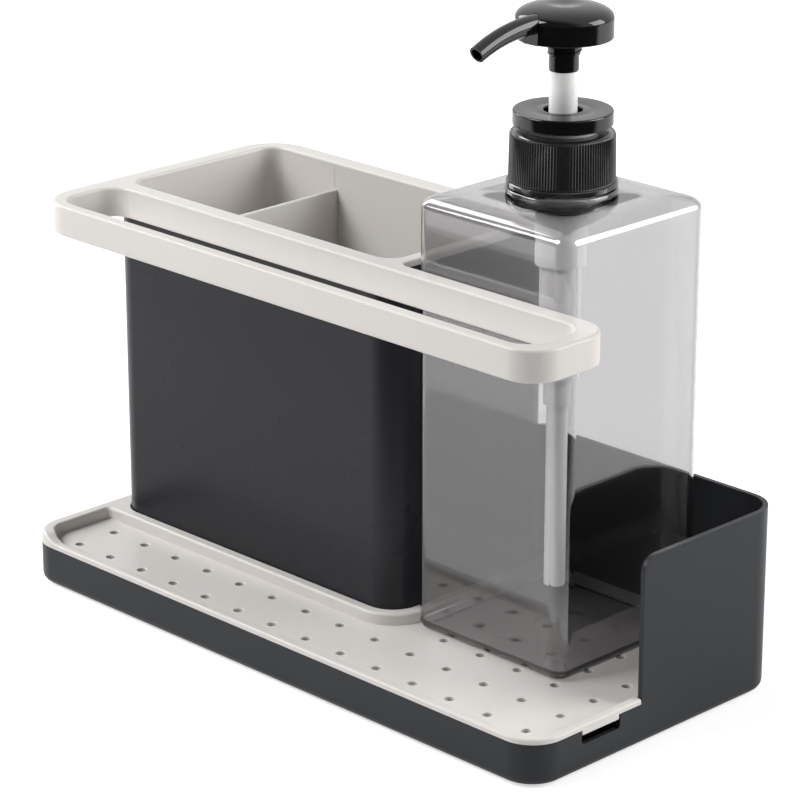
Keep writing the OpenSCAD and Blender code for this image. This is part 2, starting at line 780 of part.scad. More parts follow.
module pump_housing() color(white) translate([axis_x, axis_y, 0]) {
    difference() {
        union() {
            translate([0, 0, z_gasket_top]) cylinder(r = neck_r, h = flange_t);
            translate([0, 0, z_cup_low]) cylinder(r = cup_r, h = cup_l + flange_t / 2);
            translate([0, 0, z_barrel_low]) cylinder(r = barrel_r, h = barrel_l + housing_wall);
            translate([0, 0, z_nipple_low]) cylinder(r = tube_r + nipple_wall, h = nipple_l + inlet_land);
        }
        translate([0, 0, z_cup_low + housing_wall]) cylinder(r = cup_in, h = cup_l + flange_t + over);
        translate([0, 0, z_spring_low]) cylinder(r = barrel_in, h = z_cup_low + 2 * housing_wall - z_spring_low);
        translate([0, 0, z_cage_top - over]) cylinder(r = cage_ring_r, h = cage_ring_t + 2 * over);
        translate([0, 0, z_seat_top]) cylinder(r = cage_r, h = z_cage_top - z_seat_top);
        translate([0, 0, z_seat_low]) cylinder(r1 = inlet_r, r2 = cage_r, h = z_seat_top - z_seat_low);
        translate([0, 0, z_barrel_low - over]) cylinder(r = inlet_r, h = inlet_land + 2 * over);
        translate([0, 0, z_nipple_low - over])
            cylinder(r = tube_r + push_fit, h = z_tube_top - z_nipple_low + over);
    }
}

// The nozzle's socket sinks into the guide's wide upper bore when the pump is pressed
module stem_guide() color(white) translate([axis_x, axis_y, 0]) {
    z_bearing = z_socket_low - stroke - over;
    difference() {
        union() {
            translate([0, 0, z_flange_top]) cylinder(r = guide_r, h = guide_h);
            translate([0, 0, z_flange_top - guide_plug]) cylinder(r = cup_in - running_fit, h = guide_plug + guide_h);
        }
        translate([0, 0, z_flange_top - guide_plug - over])
            cylinder(r = stem_r + running_fit, h = guide_plug + guide_h + 2 * over);
        translate([0, 0, z_bearing]) cylinder(r = socket_r + fit, h = z_disc_top - z_bearing);
    }
}

disc_edge = 0.6;
module lock_disc() color(gloss_black) translate([axis_x, axis_y, z_disc_low]) difference() {
    union() {
        cylinder(r1 = disc_r - disc_edge, r2 = disc_r, h = disc_edge);
        translate([0, 0, disc_edge]) cylinder(r = disc_r, h = disc_t - 2 * disc_edge);
        translate([0, 0, disc_t - disc_edge]) cylinder(r1 = disc_r, r2 = disc_r - disc_edge, h = disc_edge);
    }
    translate([0, 0, disc_floor]) cylinder(r = disc_hole_r, h = disc_t);
    translate([0, 0, -over]) cylinder(r = socket_r + fit, h = disc_floor + 2 * over);
}

module inlet_ball() color(steel) translate([axis_x, axis_y, z_ball]) sphere(ball_r);

module dip_tube() color(white) translate([axis_x, axis_y, z_tube_low]) difference() {
    cylinder(r = tube_r, h = z_tube_top - z_tube_low);
    translate([0, 0, -over]) cylinder(r = tube_r - tube_wall, h = z_tube_top - z_tube_low + 2 * over);
}

// The return spring: one wire swept along a helix, with its end turns laid nearly flat
spring_rings = 8;
wire_sides = 6;
spring_low = z_spring_low + wire_d / 2 + running_fit;
spring_high = z_piston_low - wire_d / 2 - running_fit;
spring_n = spring_turns * spring_rings;
function spring_point(i) = let(a = 360 * i / spring_rings, s = i / spring_n)
    [spring_r * cos(a), spring_r * sin(a), spring_low + (spring_high - spring_low) * s];
function ring_point(i, k) = let(a = 360 * i / spring_rings, b = 360 * k / wire_sides, c = spring_point(i))
    [c[0] + wire_d / 2 * cos(b) * cos(a), c[1] + wire_d / 2 * cos(b) * sin(a), c[2] + wire_d / 2 * sin(b)];
spring_points = [for (i = [0:spring_n], k = [0:wire_sides - 1]) ring_point(i, k)];
spring_faces = concat(
    [[for (k = [0:wire_sides - 1]) k]],
    [for (i = [0:spring_n - 1], k = [0:wire_sides - 1]) let(n = (k + 1) % wire_sides)
        [i * wire_sides + k, (i + 1) * wire_sides + k, (i + 1) * wire_sides + n]],
    [for (i = [0:spring_n - 1], k = [0:wire_sides - 1]) let(n = (k + 1) % wire_sides)
        [i * wire_sides + k, (i + 1) * wire_sides + n, i * wire_sides + n]],
    [[for (k = [wire_sides - 1:-1:0]) spring_n * wire_sides + k]]);
spring_gap = min([for (i = [0:spring_n - spring_rings / 2], j = [i + spring_rings / 2:spring_n])
    norm(spring_point(j) - spring_point(i)) - wire_d]);
echo(spring_least_gap = spring_gap);

module return_spring() color(steel) translate([axis_x, axis_y, 0])
    polyhedron(points = spring_points, faces = spring_faces, convexity = 10);

module piston() color(white) translate([axis_x, axis_y, z_piston_low]) difference() {
    cylinder(r = barrel_in - running_fit, h = piston_h);
    translate([0, 0, piston_h / 2]) cylinder(r = rod_r + push_fit, h = piston_h);
    translate([0, 0, -over]) cylinder(r = stem_bore_r, h = piston_h + 2 * over);
}

module stem() color(white) translate([axis_x, axis_y, 0]) {
    z_rod_low = z_piston_low + piston_h / 2;
    z_rod_top = z_cup_low + stroke + over;
    difference() {
        union() {
            translate([0, 0, z_rod_low]) cylinder(r = rod_r, h = z_rod_top - z_rod_low + over);
            translate([0, 0, z_rod_top]) cylinder(r = stem_r, h = z_socket_low - z_rod_top);
            translate([0, 0, z_socket_low - over]) cylinder(r = spigot_r, h = spigot_l + over);
        }
        translate([0, 0, z_rod_low - over])
            cylinder(r = stem_bore_r, h = z_socket_low + spigot_l - z_rod_low + 2 * over);
    }
}

// The spout: straight out of the hub towards the front, then bent down along an arc
spout_angle = asin((spout_reach - spout_straight) / spout_bend);
// A slightly thinner rod runs on into the bend, as far as it stays inside the bend's outline
spout_lap = sqrt(spout_bend * push_fit);
module spout_shape(r, extra) {
    rotate([90, 0, 0]) cylinder(r = r, h = spout_straight);
    rotate([90, 0, 0]) cylinder(r = r - push_fit, h = spout_straight + spout_lap);
    translate([0, -spout_straight, -spout_bend]) rotate([0, -90, 0]) rotate([0, 0, -spout_angle])
        rotate_extrude(angle = spout_angle) translate([spout_bend, 0]) circle(r);
    if (extra > 0)
        translate([0, -spout_straight, -spout_bend]) rotate([spout_angle, 0, 0])
            translate([0, 0, spout_bend]) rotate([90, 0, 0]) cylinder(r = r, h = extra);
}

// The slot in the cap's side that the spout leaves through, grown by g
module spout_gate(g) {
    translate([-spout_r - g, -head_r - over, z_head_low - over])
        cube([2 * (spout_r + g), head_r + over, spout_z + over]);
    translate([0, 0, z_spout]) rotate([90, 0, 0]) cylinder(r = spout_r + g, h = head_r + over);
}

hub_r = 7;
plate_t = 1.5;
z_plate = z_head_low + head_wall / 2;
z_hub_top = z_side_top + head_dome / 2;
module nozzle() color(gloss_black) translate([axis_x, axis_y, 0]) {
    shell_in = head_r - head_wall - running_fit;
    difference() {
        union() {
            translate([0, 0, z_socket_low]) cylinder(r = socket_r, h = z_head_low - z_socket_low);
            translate([0, 0, z_thread_low]) cylinder(r = thread_r, h = z_plate + plate_t - z_thread_low);
            translate([0, 0, z_plate]) cylinder(r = shell_in, h = plate_t);
            translate([0, 0, z_plate]) cylinder(r = hub_r, h = z_hub_top - z_plate);
            translate([0, 0, z_spout]) spout_shape(spout_r, 0);
            intersection() {
                difference() {
                    translate([0, 0, z_head_low]) cylinder(r = head_r, h = spout_z);
                    translate([0, 0, z_head_low - over]) cylinder(r = shell_in - over, h = spout_z + 2 * over);
                }
                spout_gate(0);
            }
        }
        translate([0, 0, z_socket_low - over])
            cylinder(r = spigot_r + push_fit, h = spigot_l + running_fit + over);
        translate([0, 0, z_socket_low]) cylinder(r = stem_bore_r, h = z_spout - z_socket_low);
        translate([0, 0, z_spout]) spout_shape(spout_bore_r, over);
    }
}

// Half of the dome's outline, from its side wall to the crown
dome_steps = 14;
dome_fullness = 0.8;
function dome_outline(inset) = concat(
    [[0, z_head_low], [head_r - inset, z_head_low]],
    [for (i = [0:dome_steps]) let(a = 90 * i / dome_steps)
        [(head_r - inset) * pow(cos(a), dome_fullness),
         z_side_top - inset / 2 + (head_dome - inset / 2) * pow(sin(a), dome_fullness)]]);

// A shallow dish is a part of a large ball
dish_ball = (dish_w * dish_w + dish_d * dish_d) / (2 * dish_d);
module head_cap() color(gloss_black) translate([axis_x, axis_y, 0]) {
    difference() {
        rotate_extrude() polygon(dome_outline(0));
        translate([0, 0, z_head_low - over]) cylinder(r = head_r - head_wall, h = head_side);
        intersection() {
            rotate_extrude() polygon(dome_outline(head_wall));
            translate([0, 0, z_head_low]) cylinder(r = head_r, h = z_hub_top - z_head_low);
        }
        translate([0, 0, z_crown + dish_ball - dish_d]) sphere(dish_ball, $fn = 96);
        spout_gate(cap_fit);
    }
}

base_tray();
foot(-1, -1);  // foot_front_left
foot(1, -1);  // foot_front_right
foot(-1, 1);  // foot_rear_left
foot(1, 1);  // foot_rear_right
drip_tray();
container();
organiser();
compartment_divider();
bottle();
closure_collar();
neck_gasket();
pump_housing();
stem_guide();
lock_disc();
inlet_ball();
dip_tube();
return_spring();
piston();
stem();
nozzle();
head_cap();
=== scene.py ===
"""Looks of a sink-side caddy with a soap pump bottle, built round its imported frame.

Sizes are written in real millimetres and become metres where a point is made. X runs along the
length, Y from front to back, Z up from the bench.
"""
import math

import bmesh
import bpy
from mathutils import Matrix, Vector
from mathutils.geometry import delaunay_2d_cdt


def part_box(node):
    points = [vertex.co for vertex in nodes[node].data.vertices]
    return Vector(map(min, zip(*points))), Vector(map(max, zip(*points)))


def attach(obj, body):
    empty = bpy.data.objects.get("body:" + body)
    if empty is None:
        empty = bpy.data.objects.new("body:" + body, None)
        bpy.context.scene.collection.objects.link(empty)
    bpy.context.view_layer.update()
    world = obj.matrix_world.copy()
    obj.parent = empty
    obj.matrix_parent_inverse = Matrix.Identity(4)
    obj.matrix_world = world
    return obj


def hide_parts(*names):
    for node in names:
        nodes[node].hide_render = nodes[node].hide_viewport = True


MM = 0.001


def box_mm(node):
    """The lowest and highest corners of a node of the frame, in millimetres."""
    low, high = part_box(node)
    return low / MM, high / MM


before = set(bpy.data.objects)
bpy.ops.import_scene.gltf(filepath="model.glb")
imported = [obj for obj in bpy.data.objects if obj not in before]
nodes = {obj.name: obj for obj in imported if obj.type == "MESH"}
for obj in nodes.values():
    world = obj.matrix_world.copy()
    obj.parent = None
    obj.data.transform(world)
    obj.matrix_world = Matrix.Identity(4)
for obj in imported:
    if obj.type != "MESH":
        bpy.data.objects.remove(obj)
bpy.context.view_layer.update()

# Where the frame says that things are
BASE_LOW, BASE_HIGH = box_mm("base_tray")
TRAY_LOW, TRAY_HIGH = box_mm("drip_tray")
CONT_LOW, CONT_HIGH = box_mm("container")
ORG_LOW, ORG_HIGH = box_mm("organiser")
DIV_LOW, DIV_HIGH = box_mm("compartment_divider")
BOTTLE_LOW, BOTTLE_HIGH = box_mm("bottle")
CLOSURE_LOW, CLOSURE_HIGH = box_mm("closure_collar")
DISC_LOW, DISC_HIGH = box_mm("lock_disc")
NOZZLE_LOW = box_mm("nozzle")[0]
CAP_LOW, CAP_HIGH = box_mm("head_cap")
CAP_RADIUS = (CAP_HIGH.x - CAP_LOW.x) / 2
# The middle of the pump, seen from above
AXIS = ((DISC_LOW + DISC_HIGH) / 2).xy

# Clearance between pieces that lift out of each other
FIT = 0.3
# How far a cutter reaches past what it cuts
OVER = 1.0
# A step too small to see, which keeps faces of solids that are to be joined out of one plane, and
# how far parts of one solid reach into each other
HAIR = 0.02
LAP = 2 * HAIR
# Points that are nearer than this become one, and sides that are shorter are left out
SAME_POINT = 0.002
SHORT_SIDE = 0.001
# Steps in a corner's arc, in a large, a usual and a small rounded edge, and round the pump's parts
CORNER_STEPS = 12
LARGE_EDGE_STEPS = 6
EDGE_STEPS = 4
SMALL_EDGE_STEPS = 3
ROUND_STEPS = 96
# Two faces that meet at more than this many degrees keep a crisp edge
CRISP_DEGREES = 32
# Edges that are sharper than this are bevelled on pieces that ask for it
BEVEL_DEGREES = 50

# Base
BASE_CORNER = 13.0
BASE_WALL = 1.9
BASE_FLOOR = 2.0
BASE_FLOOR_EDGE = 1.0
BASE_LOW_EDGE = 3.0
LOW_WALL = 15.5
WALL_TOP = BASE_LOW.z + LOW_WALL
GUARD_SIDE = 73.0
GUARD_BACK = 120.6
GUARD_CORNER = 6.0
GUARD_STEPS = 8
GUARD_Y = BASE_HIGH.y - GUARD_SIDE
GUARD_X = BASE_HIGH.x - GUARD_BACK
NOTCH_FRONT = 23.8
NOTCH_WIDTH = 19.3
NOTCH_DEPTH = 5.4
NOTCH_CORNER = 1.6
BASE_EDGE = 0.45
FOOT_INSET = 16.0
FOOT_RADIUS = 6.0
FOOT_EDGE = 0.3
FOOT_STEPS = 48
FOOT_RECESS = 0.8
RECESS_STEPS = 32

# Drip tray
TRAY_PLATE = 2.0
DRAIN_Z = TRAY_LOW.z + TRAY_PLATE
LIP_HEIGHT = 1.9
LIP_WIDTH = 3.4
LIP_SLOPE = 2.4
LIP_EDGE = 0.9
# The lip's slope starts this far before its flat ends, and runs out this far past its foot
LIP_TURN = 0.6
LIP_RUN_OUT = 0.3
SLOPE_STEPS = 8
RIM_WIDTH = 5.1
RIM_EDGE = 1.6
RIM_INNER_EDGE = 1.0
RIM_FOOT_EDGE = 0.5
RAMP_START = 7.0
RAMP_LENGTH = 11.0
RAMP_STEPS = 4
LIP_END = 4.0
TONGUE = 0.8
COLLAR_WIDTH = 4.4
COLLAR_EDGE = 1.2
INNER_CORNER = 2.0
TAB_EDGE = 0.3
TAB_STEPS = 2
WELL_EDGE = 0.6
HOLE_RADIUS = 1.7
HOLE_STEP_X = 18.0
HOLE_STEP_Y = 17.0
HOLE_LEFT = 18.4
HOLE_FRONT = 10.7
HOLE_MARGIN = 12.0
HOLE_EDGE = 0.35
HOLE_STEPS = 24

# Container
CONT_CORNER = 11.0
CONT_WALL = 1.8
CONT_FLOOR = 2.0
CONT_FLOOR_EDGE = 1.0
CONT_LOW_EDGE = 1.2
CONT_TOP_EDGE = 0.5

# Organiser
ORG_PLATE = 2.2
ORG_CORNER = 16.5
ORG_EDGE = 1.1
ORG_LOW_EDGE = 0.8
SKIRT_WALL = 2.25
SLEEVE_WALL = 1.8
SLEEVE_EDGE = 0.4
COMP_LEFT = 7.2
COMP_RIGHT = 5.9
COMP_FRONT = 7.5
COMP_BACK = 7.65
COMP_CORNER = 7.0
SLOT_BACK = CONT_LOW.y - FIT - SKIRT_WALL
SLOT_WIDTH = 27.1
SLOT_END = 7.3
SLOT_CORNER = 9.0
RAIL_CORNER = 12.5
BAY_BAR = 6.9
BAY_CORNER = 3.0
RIM_HEIGHT = 11.5
GROOVE = 0.06
DIVIDER_SINK = 0.03
DIVIDER_EDGE = 0.6
DIVIDER_LOW_EDGE = 0.2

# Bottle. Over its shoulder the corners open up again, by a share of each step inwards
SHOULDER_HEIGHT = 162.8
SHOULDER_Z = DRAIN_Z + SHOULDER_HEIGHT
BOTTLE_CORNER = 6.0
SMALLEST_CORNER = 1.0
CORNER_GROWTH = 0.6
BOTTLE_LOW_EDGE = 3.5
SHOULDER_RUN = 13.0
SHOULDER_DROP = 5.8
SHOULDER_FULLNESS = 2.2
SHOULDER_STEPS = 12
BOTTLE_WALL = 0.6
BOTTLE_FLOOR = 1.3
# Sides longer than this are straight ones, and get points along them
ARC_STEP_LIMIT = 5.0
SIDE_STEPS = 10
PUNT_DEPTH = 0.6
PUNT_RUN = 2.0
NECK_RADIUS = 16.0
NECK_BORE = 14.4
NECK_FOOT_RADIUS = 17.4
NECK_FOOT = 0.4
NECK_FILLET = 0.3
NECK_EDGE = 0.5
NECK_ROOT = 2.6
ROOT_FLAT = 2.0
ROOT_EDGE = 0.8
ROOT_STEPS = 5
RING_RADIUS = 19.7
RING_HEIGHT = 2.3
RING_EDGE = 0.9

# Closure and disc
RIB_COUNT = 112
RIB_RADIUS = 18.6
RIB_TAPER = 0.3
RIB_DEPTH = 0.28
# One rib from groove to groove, as shares of its depth
RIB_WAVE = (0.0, 0.25, 0.75, 1.0, 0.75, 0.25)
BAND_RADIUS = 19.3
BAND_HEIGHT = 2.2
BAND_EDGE = 0.4
CLOSURE_TOP = 1.4
CLOSURE_DROP = 1.6
CLOSURE_STEP = 0.9
CLOSURE_HOLE = 12.5
CLOSURE_EDGE = 0.1
DISC_HOLE = 6.75
DISC_HOLE_EDGE = 0.4
DISC_FLOOR = 1.0
DISC_EDGE = 0.6
# The hollow in the disc's top, as shares of its radius and depths, up to the flat round its hole
DISC_HOLLOW = ((0.72, 0.05), (0.62, 0.28), (0.52, 0.32))
DISC_FLAT_WIDTH = 0.9
DISC_FLAT_DEPTH = 0.1

# Pump head
SOCKET_RADIUS = 5.2
SOCKET_HEIGHT = 5.7
SOCKET_EDGE = 0.5
SPIGOT_RADIUS = 3.82
SPIGOT_DEPTH = 8.05
SPIGOT_EDGE = 0.3
THREAD_RADIUS = 6.1
THREAD_CORE = 5.65
THREAD_CONE = 0.2
THREAD_TURNS = 1.6
THREAD_PITCH = 2.0
THREAD_HEIGHT = 0.5
THREAD_SUNK = 0.3
THREAD_WIDTH = 0.7
THREAD_TIP = 0.12
THREAD_START = 200
THREAD_STEPS = 64
HEAD_SIDE = 6.5
HEAD_WALL = 1.3
HEAD_PLATE = 1.5
HUB_RADIUS = 7.0
DOME_FULLNESS = 0.8
DOME_STEPS = 26
CAP_STEPS = 128
CAP_EDGE = 0.4
CAP_INNER_EDGE = 0.2
CAP_FIT = 0.15
DISH_DEPTH = 0.8
DISH_RADIUS = 8.0
SPOUT_RADIUS = 3.4
SPOUT_TAPER = 0.45
SPOUT_SIDES = 40
SPOUT_BORE = 2.3
BORE_TAPER = 0.1
BORE_SIDES = 24
SPOUT_HEIGHT = 6.7
SPOUT_REACH = 42.6
SPOUT_STRAIGHT = 17.0
STRAIGHT_STEPS = 4
SPOUT_BEND = 60.0
BEND_STEPS = 20
GATE_STEPS = 16
# The nozzle's plate stays this far off the cap's wall, and its gate this far behind the cap's face
GATE_GAP = 0.05


def arc(centre, radius, start, end, steps):
    """Points along an arc, with its angles in degrees."""
    turns = [math.radians(start + (end - start) * i / steps) for i in range(steps + 1)]
    return [Vector((centre[0] + radius * math.cos(t), centre[1] + radius * math.sin(t))) for t in turns]


def circle(centre, radius, steps=ROUND_STEPS):
    """A full circle's points, anticlockwise."""
    return arc(centre, radius, 0, 360, steps)[:-1]


def edge(across, z, radius, start, end, steps=EDGE_STEPS):
    """Points that round a profile's corner at (across, z), on an arc between two angles in degrees."""
    middle = math.radians((start + end) / 2)
    centre_across = across - math.copysign(radius, math.cos(middle))
    centre_z = z - math.copysign(radius, math.sin(middle))
    return [(centre_across + x, centre_z + y) for x, y in arc((0, 0), radius, start, end, steps)]


def eased(way):
    """From nought to one with a soft start and end."""
    return way * way * (3 - 2 * way)


def rounded(corners, steps=CORNER_STEPS):
    """A closed outline through (x, y, radius) corners, each turned with an arc of its radius."""
    outline = []
    count = len(corners)
    for i, (x, y, radius) in enumerate(corners):
        here = Vector((x, y))
        if radius == 0:
            outline.append(here)
            continue
        before = Vector(corners[i - 1][:2])
        after = Vector(corners[(i + 1) % count][:2])
        going_in = (here - before).normalized()
        going_out = (after - here).normalized()
        turn = going_in.cross(going_out)
        angle = going_in.angle(going_out)
        side = 1 if turn > 0 else -1
        normal = Vector((-going_in.y, going_in.x)) * side
        first = here - going_in * radius * math.tan(angle / 2)
        centre = first + normal * radius
        start = math.degrees(math.atan2(-normal.y, -normal.x))
        outline += arc(centre, radius, start, start + side * math.degrees(angle), steps)
    return outline


def rectangle(low, high, radius, steps=CORNER_STEPS):
    """A rectangle with round corners, run anticlockwise from its front left corner."""
    return rounded([(low[0], low[1], radius), (high[0], low[1], radius),
                    (high[0], high[1], radius), (low[0], high[1], radius)], steps)


def with_side_points(outline):
    """A rounded rectangle with points along its straight sides too."""
    dense = []
    for i, here in enumerate(outline):
        after = outline[(i + 1) % len(outline)]
        count = SIDE_STEPS if (after - here).length > ARC_STEP_LIMIT else 1
        dense += [here.lerp(after, k / count) for k in range(count)]
    return dense


def grown(outline, out):
    """An anticlockwise outline with every side moved outwards by a distance."""
    moved = []
    for i, here in enumerate(outline):
        before = (here - outline[i - 1]).normalized()
        after = (outline[(i + 1) % len(outline)] - here).normalized()
        left = Vector((before.y, -before.x))
        right = Vector((after.y, -after.x))
        moved.append(here + (left + right) / (1 + left.dot(right)) * out)
    return moved


def ring(bm, outline, z):
    return [bm.verts.new((x * MM, y * MM, z * MM)) for x, y in outline]


def skins(bm, rows):
    """Faces between each closed row of points and the next. A row may be one point many times."""
    for lower, upper in zip(rows, rows[1:]):
        for i in range(len(lower)):
            j = (i + 1) % len(lower)
            corners = list(dict.fromkeys((lower[i], lower[j], upper[j], upper[i])))
            if len(corners) > 2:
                bm.faces.new(corners)


def sheet(bm, rings):
    """Fills the flat area inside the first ring and outside all others, which are convex."""
    corners = [corner for loop in rings for corner in loop]
    owners = [i for i, loop in enumerate(rings) for _ in loop]
    edges = []
    for loop in rings:
        start = len(edges)
        edges += [(start + i, start + (i + 1) % len(loop)) for i in range(len(loop))]
    points = [corner.co.xy / MM for corner in corners]
    given_edges = 2
    touching = 1e-4
    faces, origin = delaunay_2d_cdt(points, edges, [], given_edges, touching)[2:4]
    for face in faces:
        chosen = [origin[k][0] for k in face]
        first = owners[chosen[0]]
        if first == 0 or any(owners[k] != first for k in chosen):
            bm.faces.new([corners[k] for k in chosen])


def block(outline, profile):
    """A solid with an outline that grows as its profile of (growth, height) says, closed flat."""
    bm = bmesh.new()
    rows = [ring(bm, grown(outline, growth), z) for growth, z in profile]
    skins(bm, rows)
    sheet(bm, [rows[0]])
    sheet(bm, [rows[-1]])
    return bm


def turned(profile, steps=ROUND_STEPS, closed=False):
    """A profile of (radius, height) points turned round the pump's axis. Radius nought closes it."""
    bm = bmesh.new()
    rows = []
    for radius, z in profile:
        if radius == 0:
            rows.append(ring(bm, [AXIS], z) * steps)
        else:
            rows.append(ring(bm, circle(AXIS, radius, steps), z))
    skins(bm, rows + rows[:1] if closed else rows)
    return bm


def tube(sections):
    """A solid through closed sections of as many points, capped at both ends."""
    bm = bmesh.new()
    rows = [[bm.verts.new(point * MM) for point in section] for section in sections]
    skins(bm, rows)
    bm.faces.new(rows[0])
    bm.faces.new(rows[-1])
    return bm


def prism_along_x(points, x0, x1):
    """A solid through (y, z) points, from one x to another."""
    return tube([[Vector((x, y, z)) for y, z in points] for x in (x0, x1)])


def prism_along_y(points, y0, y1):
    """A solid through (x, z) points, from one y to another."""
    return tube([[Vector((x, y, z)) for x, z in points] for y in (y0, y1)])


def as_mesh(bm, name):
    bmesh.ops.recalc_face_normals(bm, faces=bm.faces)
    mesh = bpy.data.meshes.new(name)
    bm.to_mesh(mesh)
    bm.free()
    return mesh


def placed(name, data):
    """A new object in the scene, from a mesh, a lamp or a camera."""
    made = bpy.data.objects.new(name, data)
    bpy.context.scene.collection.objects.link(made)
    return made


def shaped(solid, steps):
    """A solid with others joined to it or cut from it, each step as (UNION or DIFFERENCE, solid)."""
    bmesh.ops.recalc_face_normals(solid, faces=solid.faces)
    scraps = [placed("scrap", as_mesh(solid, "scrap"))]
    for operation, tool in steps:
        scraps.append(placed("scrap", as_mesh(tool, "scrap")))
        change = scraps[0].modifiers.new(operation, "BOOLEAN")
        change.operation = operation
        change.solver = "EXACT"
        change.object = scraps[-1]
    bpy.context.view_layer.update()
    evaluated = scraps[0].evaluated_get(bpy.context.evaluated_depsgraph_get())
    result = bmesh.new()
    result.from_mesh(evaluated.data)
    for scrap in scraps:
        mesh = scrap.data
        bpy.data.objects.remove(scrap)
        bpy.data.meshes.remove(mesh)
    return result


def piece(name, bm, finish, body, stands_for, bevelled=0.0):
    """A finished piece: named, shaded, riding on its body and standing for its CAD node."""
    bmesh.ops.remove_doubles(bm, verts=bm.verts, dist=SAME_POINT * MM)
    bmesh.ops.dissolve_degenerate(bm, edges=bm.edges, dist=SHORT_SIDE * MM)
    bmesh.ops.recalc_face_normals(bm, faces=bm.faces)
    for face in bm.faces:
        face.smooth = True
    for side in bm.edges:
        side.smooth = side.calc_face_angle(0) < math.radians(CRISP_DEGREES)
    made = placed(name, as_mesh(bm, name))
    made.data.materials.append(finish)
    if bevelled:
        bevel = made.modifiers.new("edges", "BEVEL")
        bevel.width = bevelled * MM
        bevel.segments = SMALL_EDGE_STEPS
        bevel.limit_method = "ANGLE"
        bevel.angle_limit = math.radians(BEVEL_DEGREES)
    weighted = made.modifiers.new("flat faces", "WEIGHTED_NORMAL")
    weighted.keep_sharp = True
    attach(made, body)
    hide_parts(stands_for)


# Materials. Most values of a noise pattern lie between these two
NOISE_LOW = 0.3
NOISE_HIGH = 0.7


def paint(hex_colour):
    """An sRGB hex colour as the linear colour that shaders use."""
    linear = []
    for i in (1, 3, 5):
        value = int(hex_colour[i:i + 2], 16) / 255
        linear.append(value / 12.92 if value <= 0.04045 else ((value + 0.055) / 1.055) ** 2.4)
    return (*linear, 1.0)


def add(tree, kind, inputs=None, **settings):
    """Adds a shader node, with its settings, its input values and its links from other nodes."""
    made = tree.nodes.new("ShaderNode" + kind)
    for name, value in settings.items():
        setattr(made, name, value)
    for name, value in (inputs or {}).items():
        if isinstance(value, bpy.types.NodeSocket):
            tree.links.new(value, made.inputs[name])
        else:
            made.inputs[name].default_value = value
    return made


def new_material(name):
    """A new material, its empty tree, and the place on the object that patterns follow."""
    material = bpy.data.materials.new(name)
    material.use_nodes = True
    tree = material.node_tree
    tree.nodes.clear()
    return material, tree, add(tree, "TexCoord").outputs["Object"]


def noise(tree, place, size_mm, detail=2.0, roughness=0.5):
    """A pattern whose features are about this many millimetres across."""
    return add(tree, "TexNoise", {"Vector": place, "Scale": 1 / (size_mm * MM), "Detail": detail,
                                  "Roughness": roughness}).outputs["Fac"]


def moulded_plastic(name, colour, shade, roughness, spread, grain_mm, grain_depth_mm, ior=1.49,
                    flow_mm=35.0, subsurface=0.0, shine=0.5):
    """An injection-moulded plastic. Its colour drifts a little towards its shade where the melt
    flowed, its gloss varies with it, and the tool's spark-eroded grain breaks up the highlights. A
    shine below 0.5 is that of a face too finely etched to mirror as a polished one does."""
    material, tree, place = new_material(name)
    flow = noise(tree, place, flow_mm)
    grain = noise(tree, place, grain_mm, roughness=0.6)
    tone = add(tree, "Mix", {"Factor": flow, "A": paint(colour), "B": paint(shade)}, data_type="RGBA")
    gloss = add(tree, "MapRange", {"Value": flow, "From Min": NOISE_LOW, "From Max": NOISE_HIGH,
                                   "To Min": roughness - spread, "To Max": roughness + spread})
    relief = add(tree, "Bump", {"Height": grain, "Distance": grain_depth_mm * MM, "Strength": 1.0})
    surface = add(tree, "BsdfPrincipled", {
        "Base Color": tone.outputs["Result"], "Roughness": gloss.outputs["Result"], "IOR": ior,
        "Normal": relief.outputs["Normal"], "Specular IOR Level": shine,
        "Subsurface Weight": subsurface, "Subsurface Scale": MM,
        "Subsurface Radius": (1.0, 0.9, 0.8)})
    add(tree, "OutputMaterial", {"Surface": surface.outputs["BSDF"]})
    return material


# The base: dark grey polypropylene from a fine-etched tool, with a soft sheen
dark_polypropylene = moulded_plastic("dark_polypropylene_etched", "#2b2d30", "#292b2e", roughness=0.38,
                                     spread=0.03, grain_mm=0.5, grain_depth_mm=0.006, shine=0.26)
# The container: the same plastic from a smoother tool, so it mirrors what stands beside it a little
dark_satin = moulded_plastic("dark_polypropylene_satin", "#28292d", "#26272b", roughness=0.28,
                             spread=0.02, grain_mm=0.7, grain_depth_mm=0.003, shine=0.22)
# Tray, organiser and divider: warm light grey polypropylene, matt enough to hide water marks
pale_polypropylene = moulded_plastic("pale_polypropylene_matt", "#dbd7d3", "#d8d4d0", roughness=0.33,
                                     spread=0.03, grain_mm=0.5, grain_depth_mm=0.006, subsurface=0.05)
# Pump head and disc: black polypropylene from a polished tool, wet-looking and deep
gloss_black = moulded_plastic("black_polypropylene_polished", "#131314", "#111112", roughness=0.07,
                              spread=0.01, grain_mm=6.0, grain_depth_mm=0.01, ior=1.5, flow_mm=12.0)
# Closure: the same plastic, duller as its ribs' tool can't be polished; its greyer colour is a painted
# sheen for its rib tips
ribbed_black = moulded_plastic("black_polypropylene_ribbed", "#282829", "#252526", roughness=0.12,
                               spread=0.02, grain_mm=0.6, grain_depth_mm=0.004, ior=1.7, flow_mm=12.0)
# Stem, guide and housing: white polypropylene, a little milky
white_polypropylene = moulded_plastic("white_polypropylene_moulded", "#fafaf9", "#f7f7f5", roughness=0.3,
                                      spread=0.03, grain_mm=0.8, grain_depth_mm=0.003, subsurface=0.1)
# Gasket and piston: waxy white polyethylene
white_polyethylene = moulded_plastic("white_polyethylene_moulded", "#ecebe7", "#e8e7e3", roughness=0.45,
                                     spread=0.04, grain_mm=0.6, grain_depth_mm=0.006, ior=1.51,
                                     subsurface=0.1)
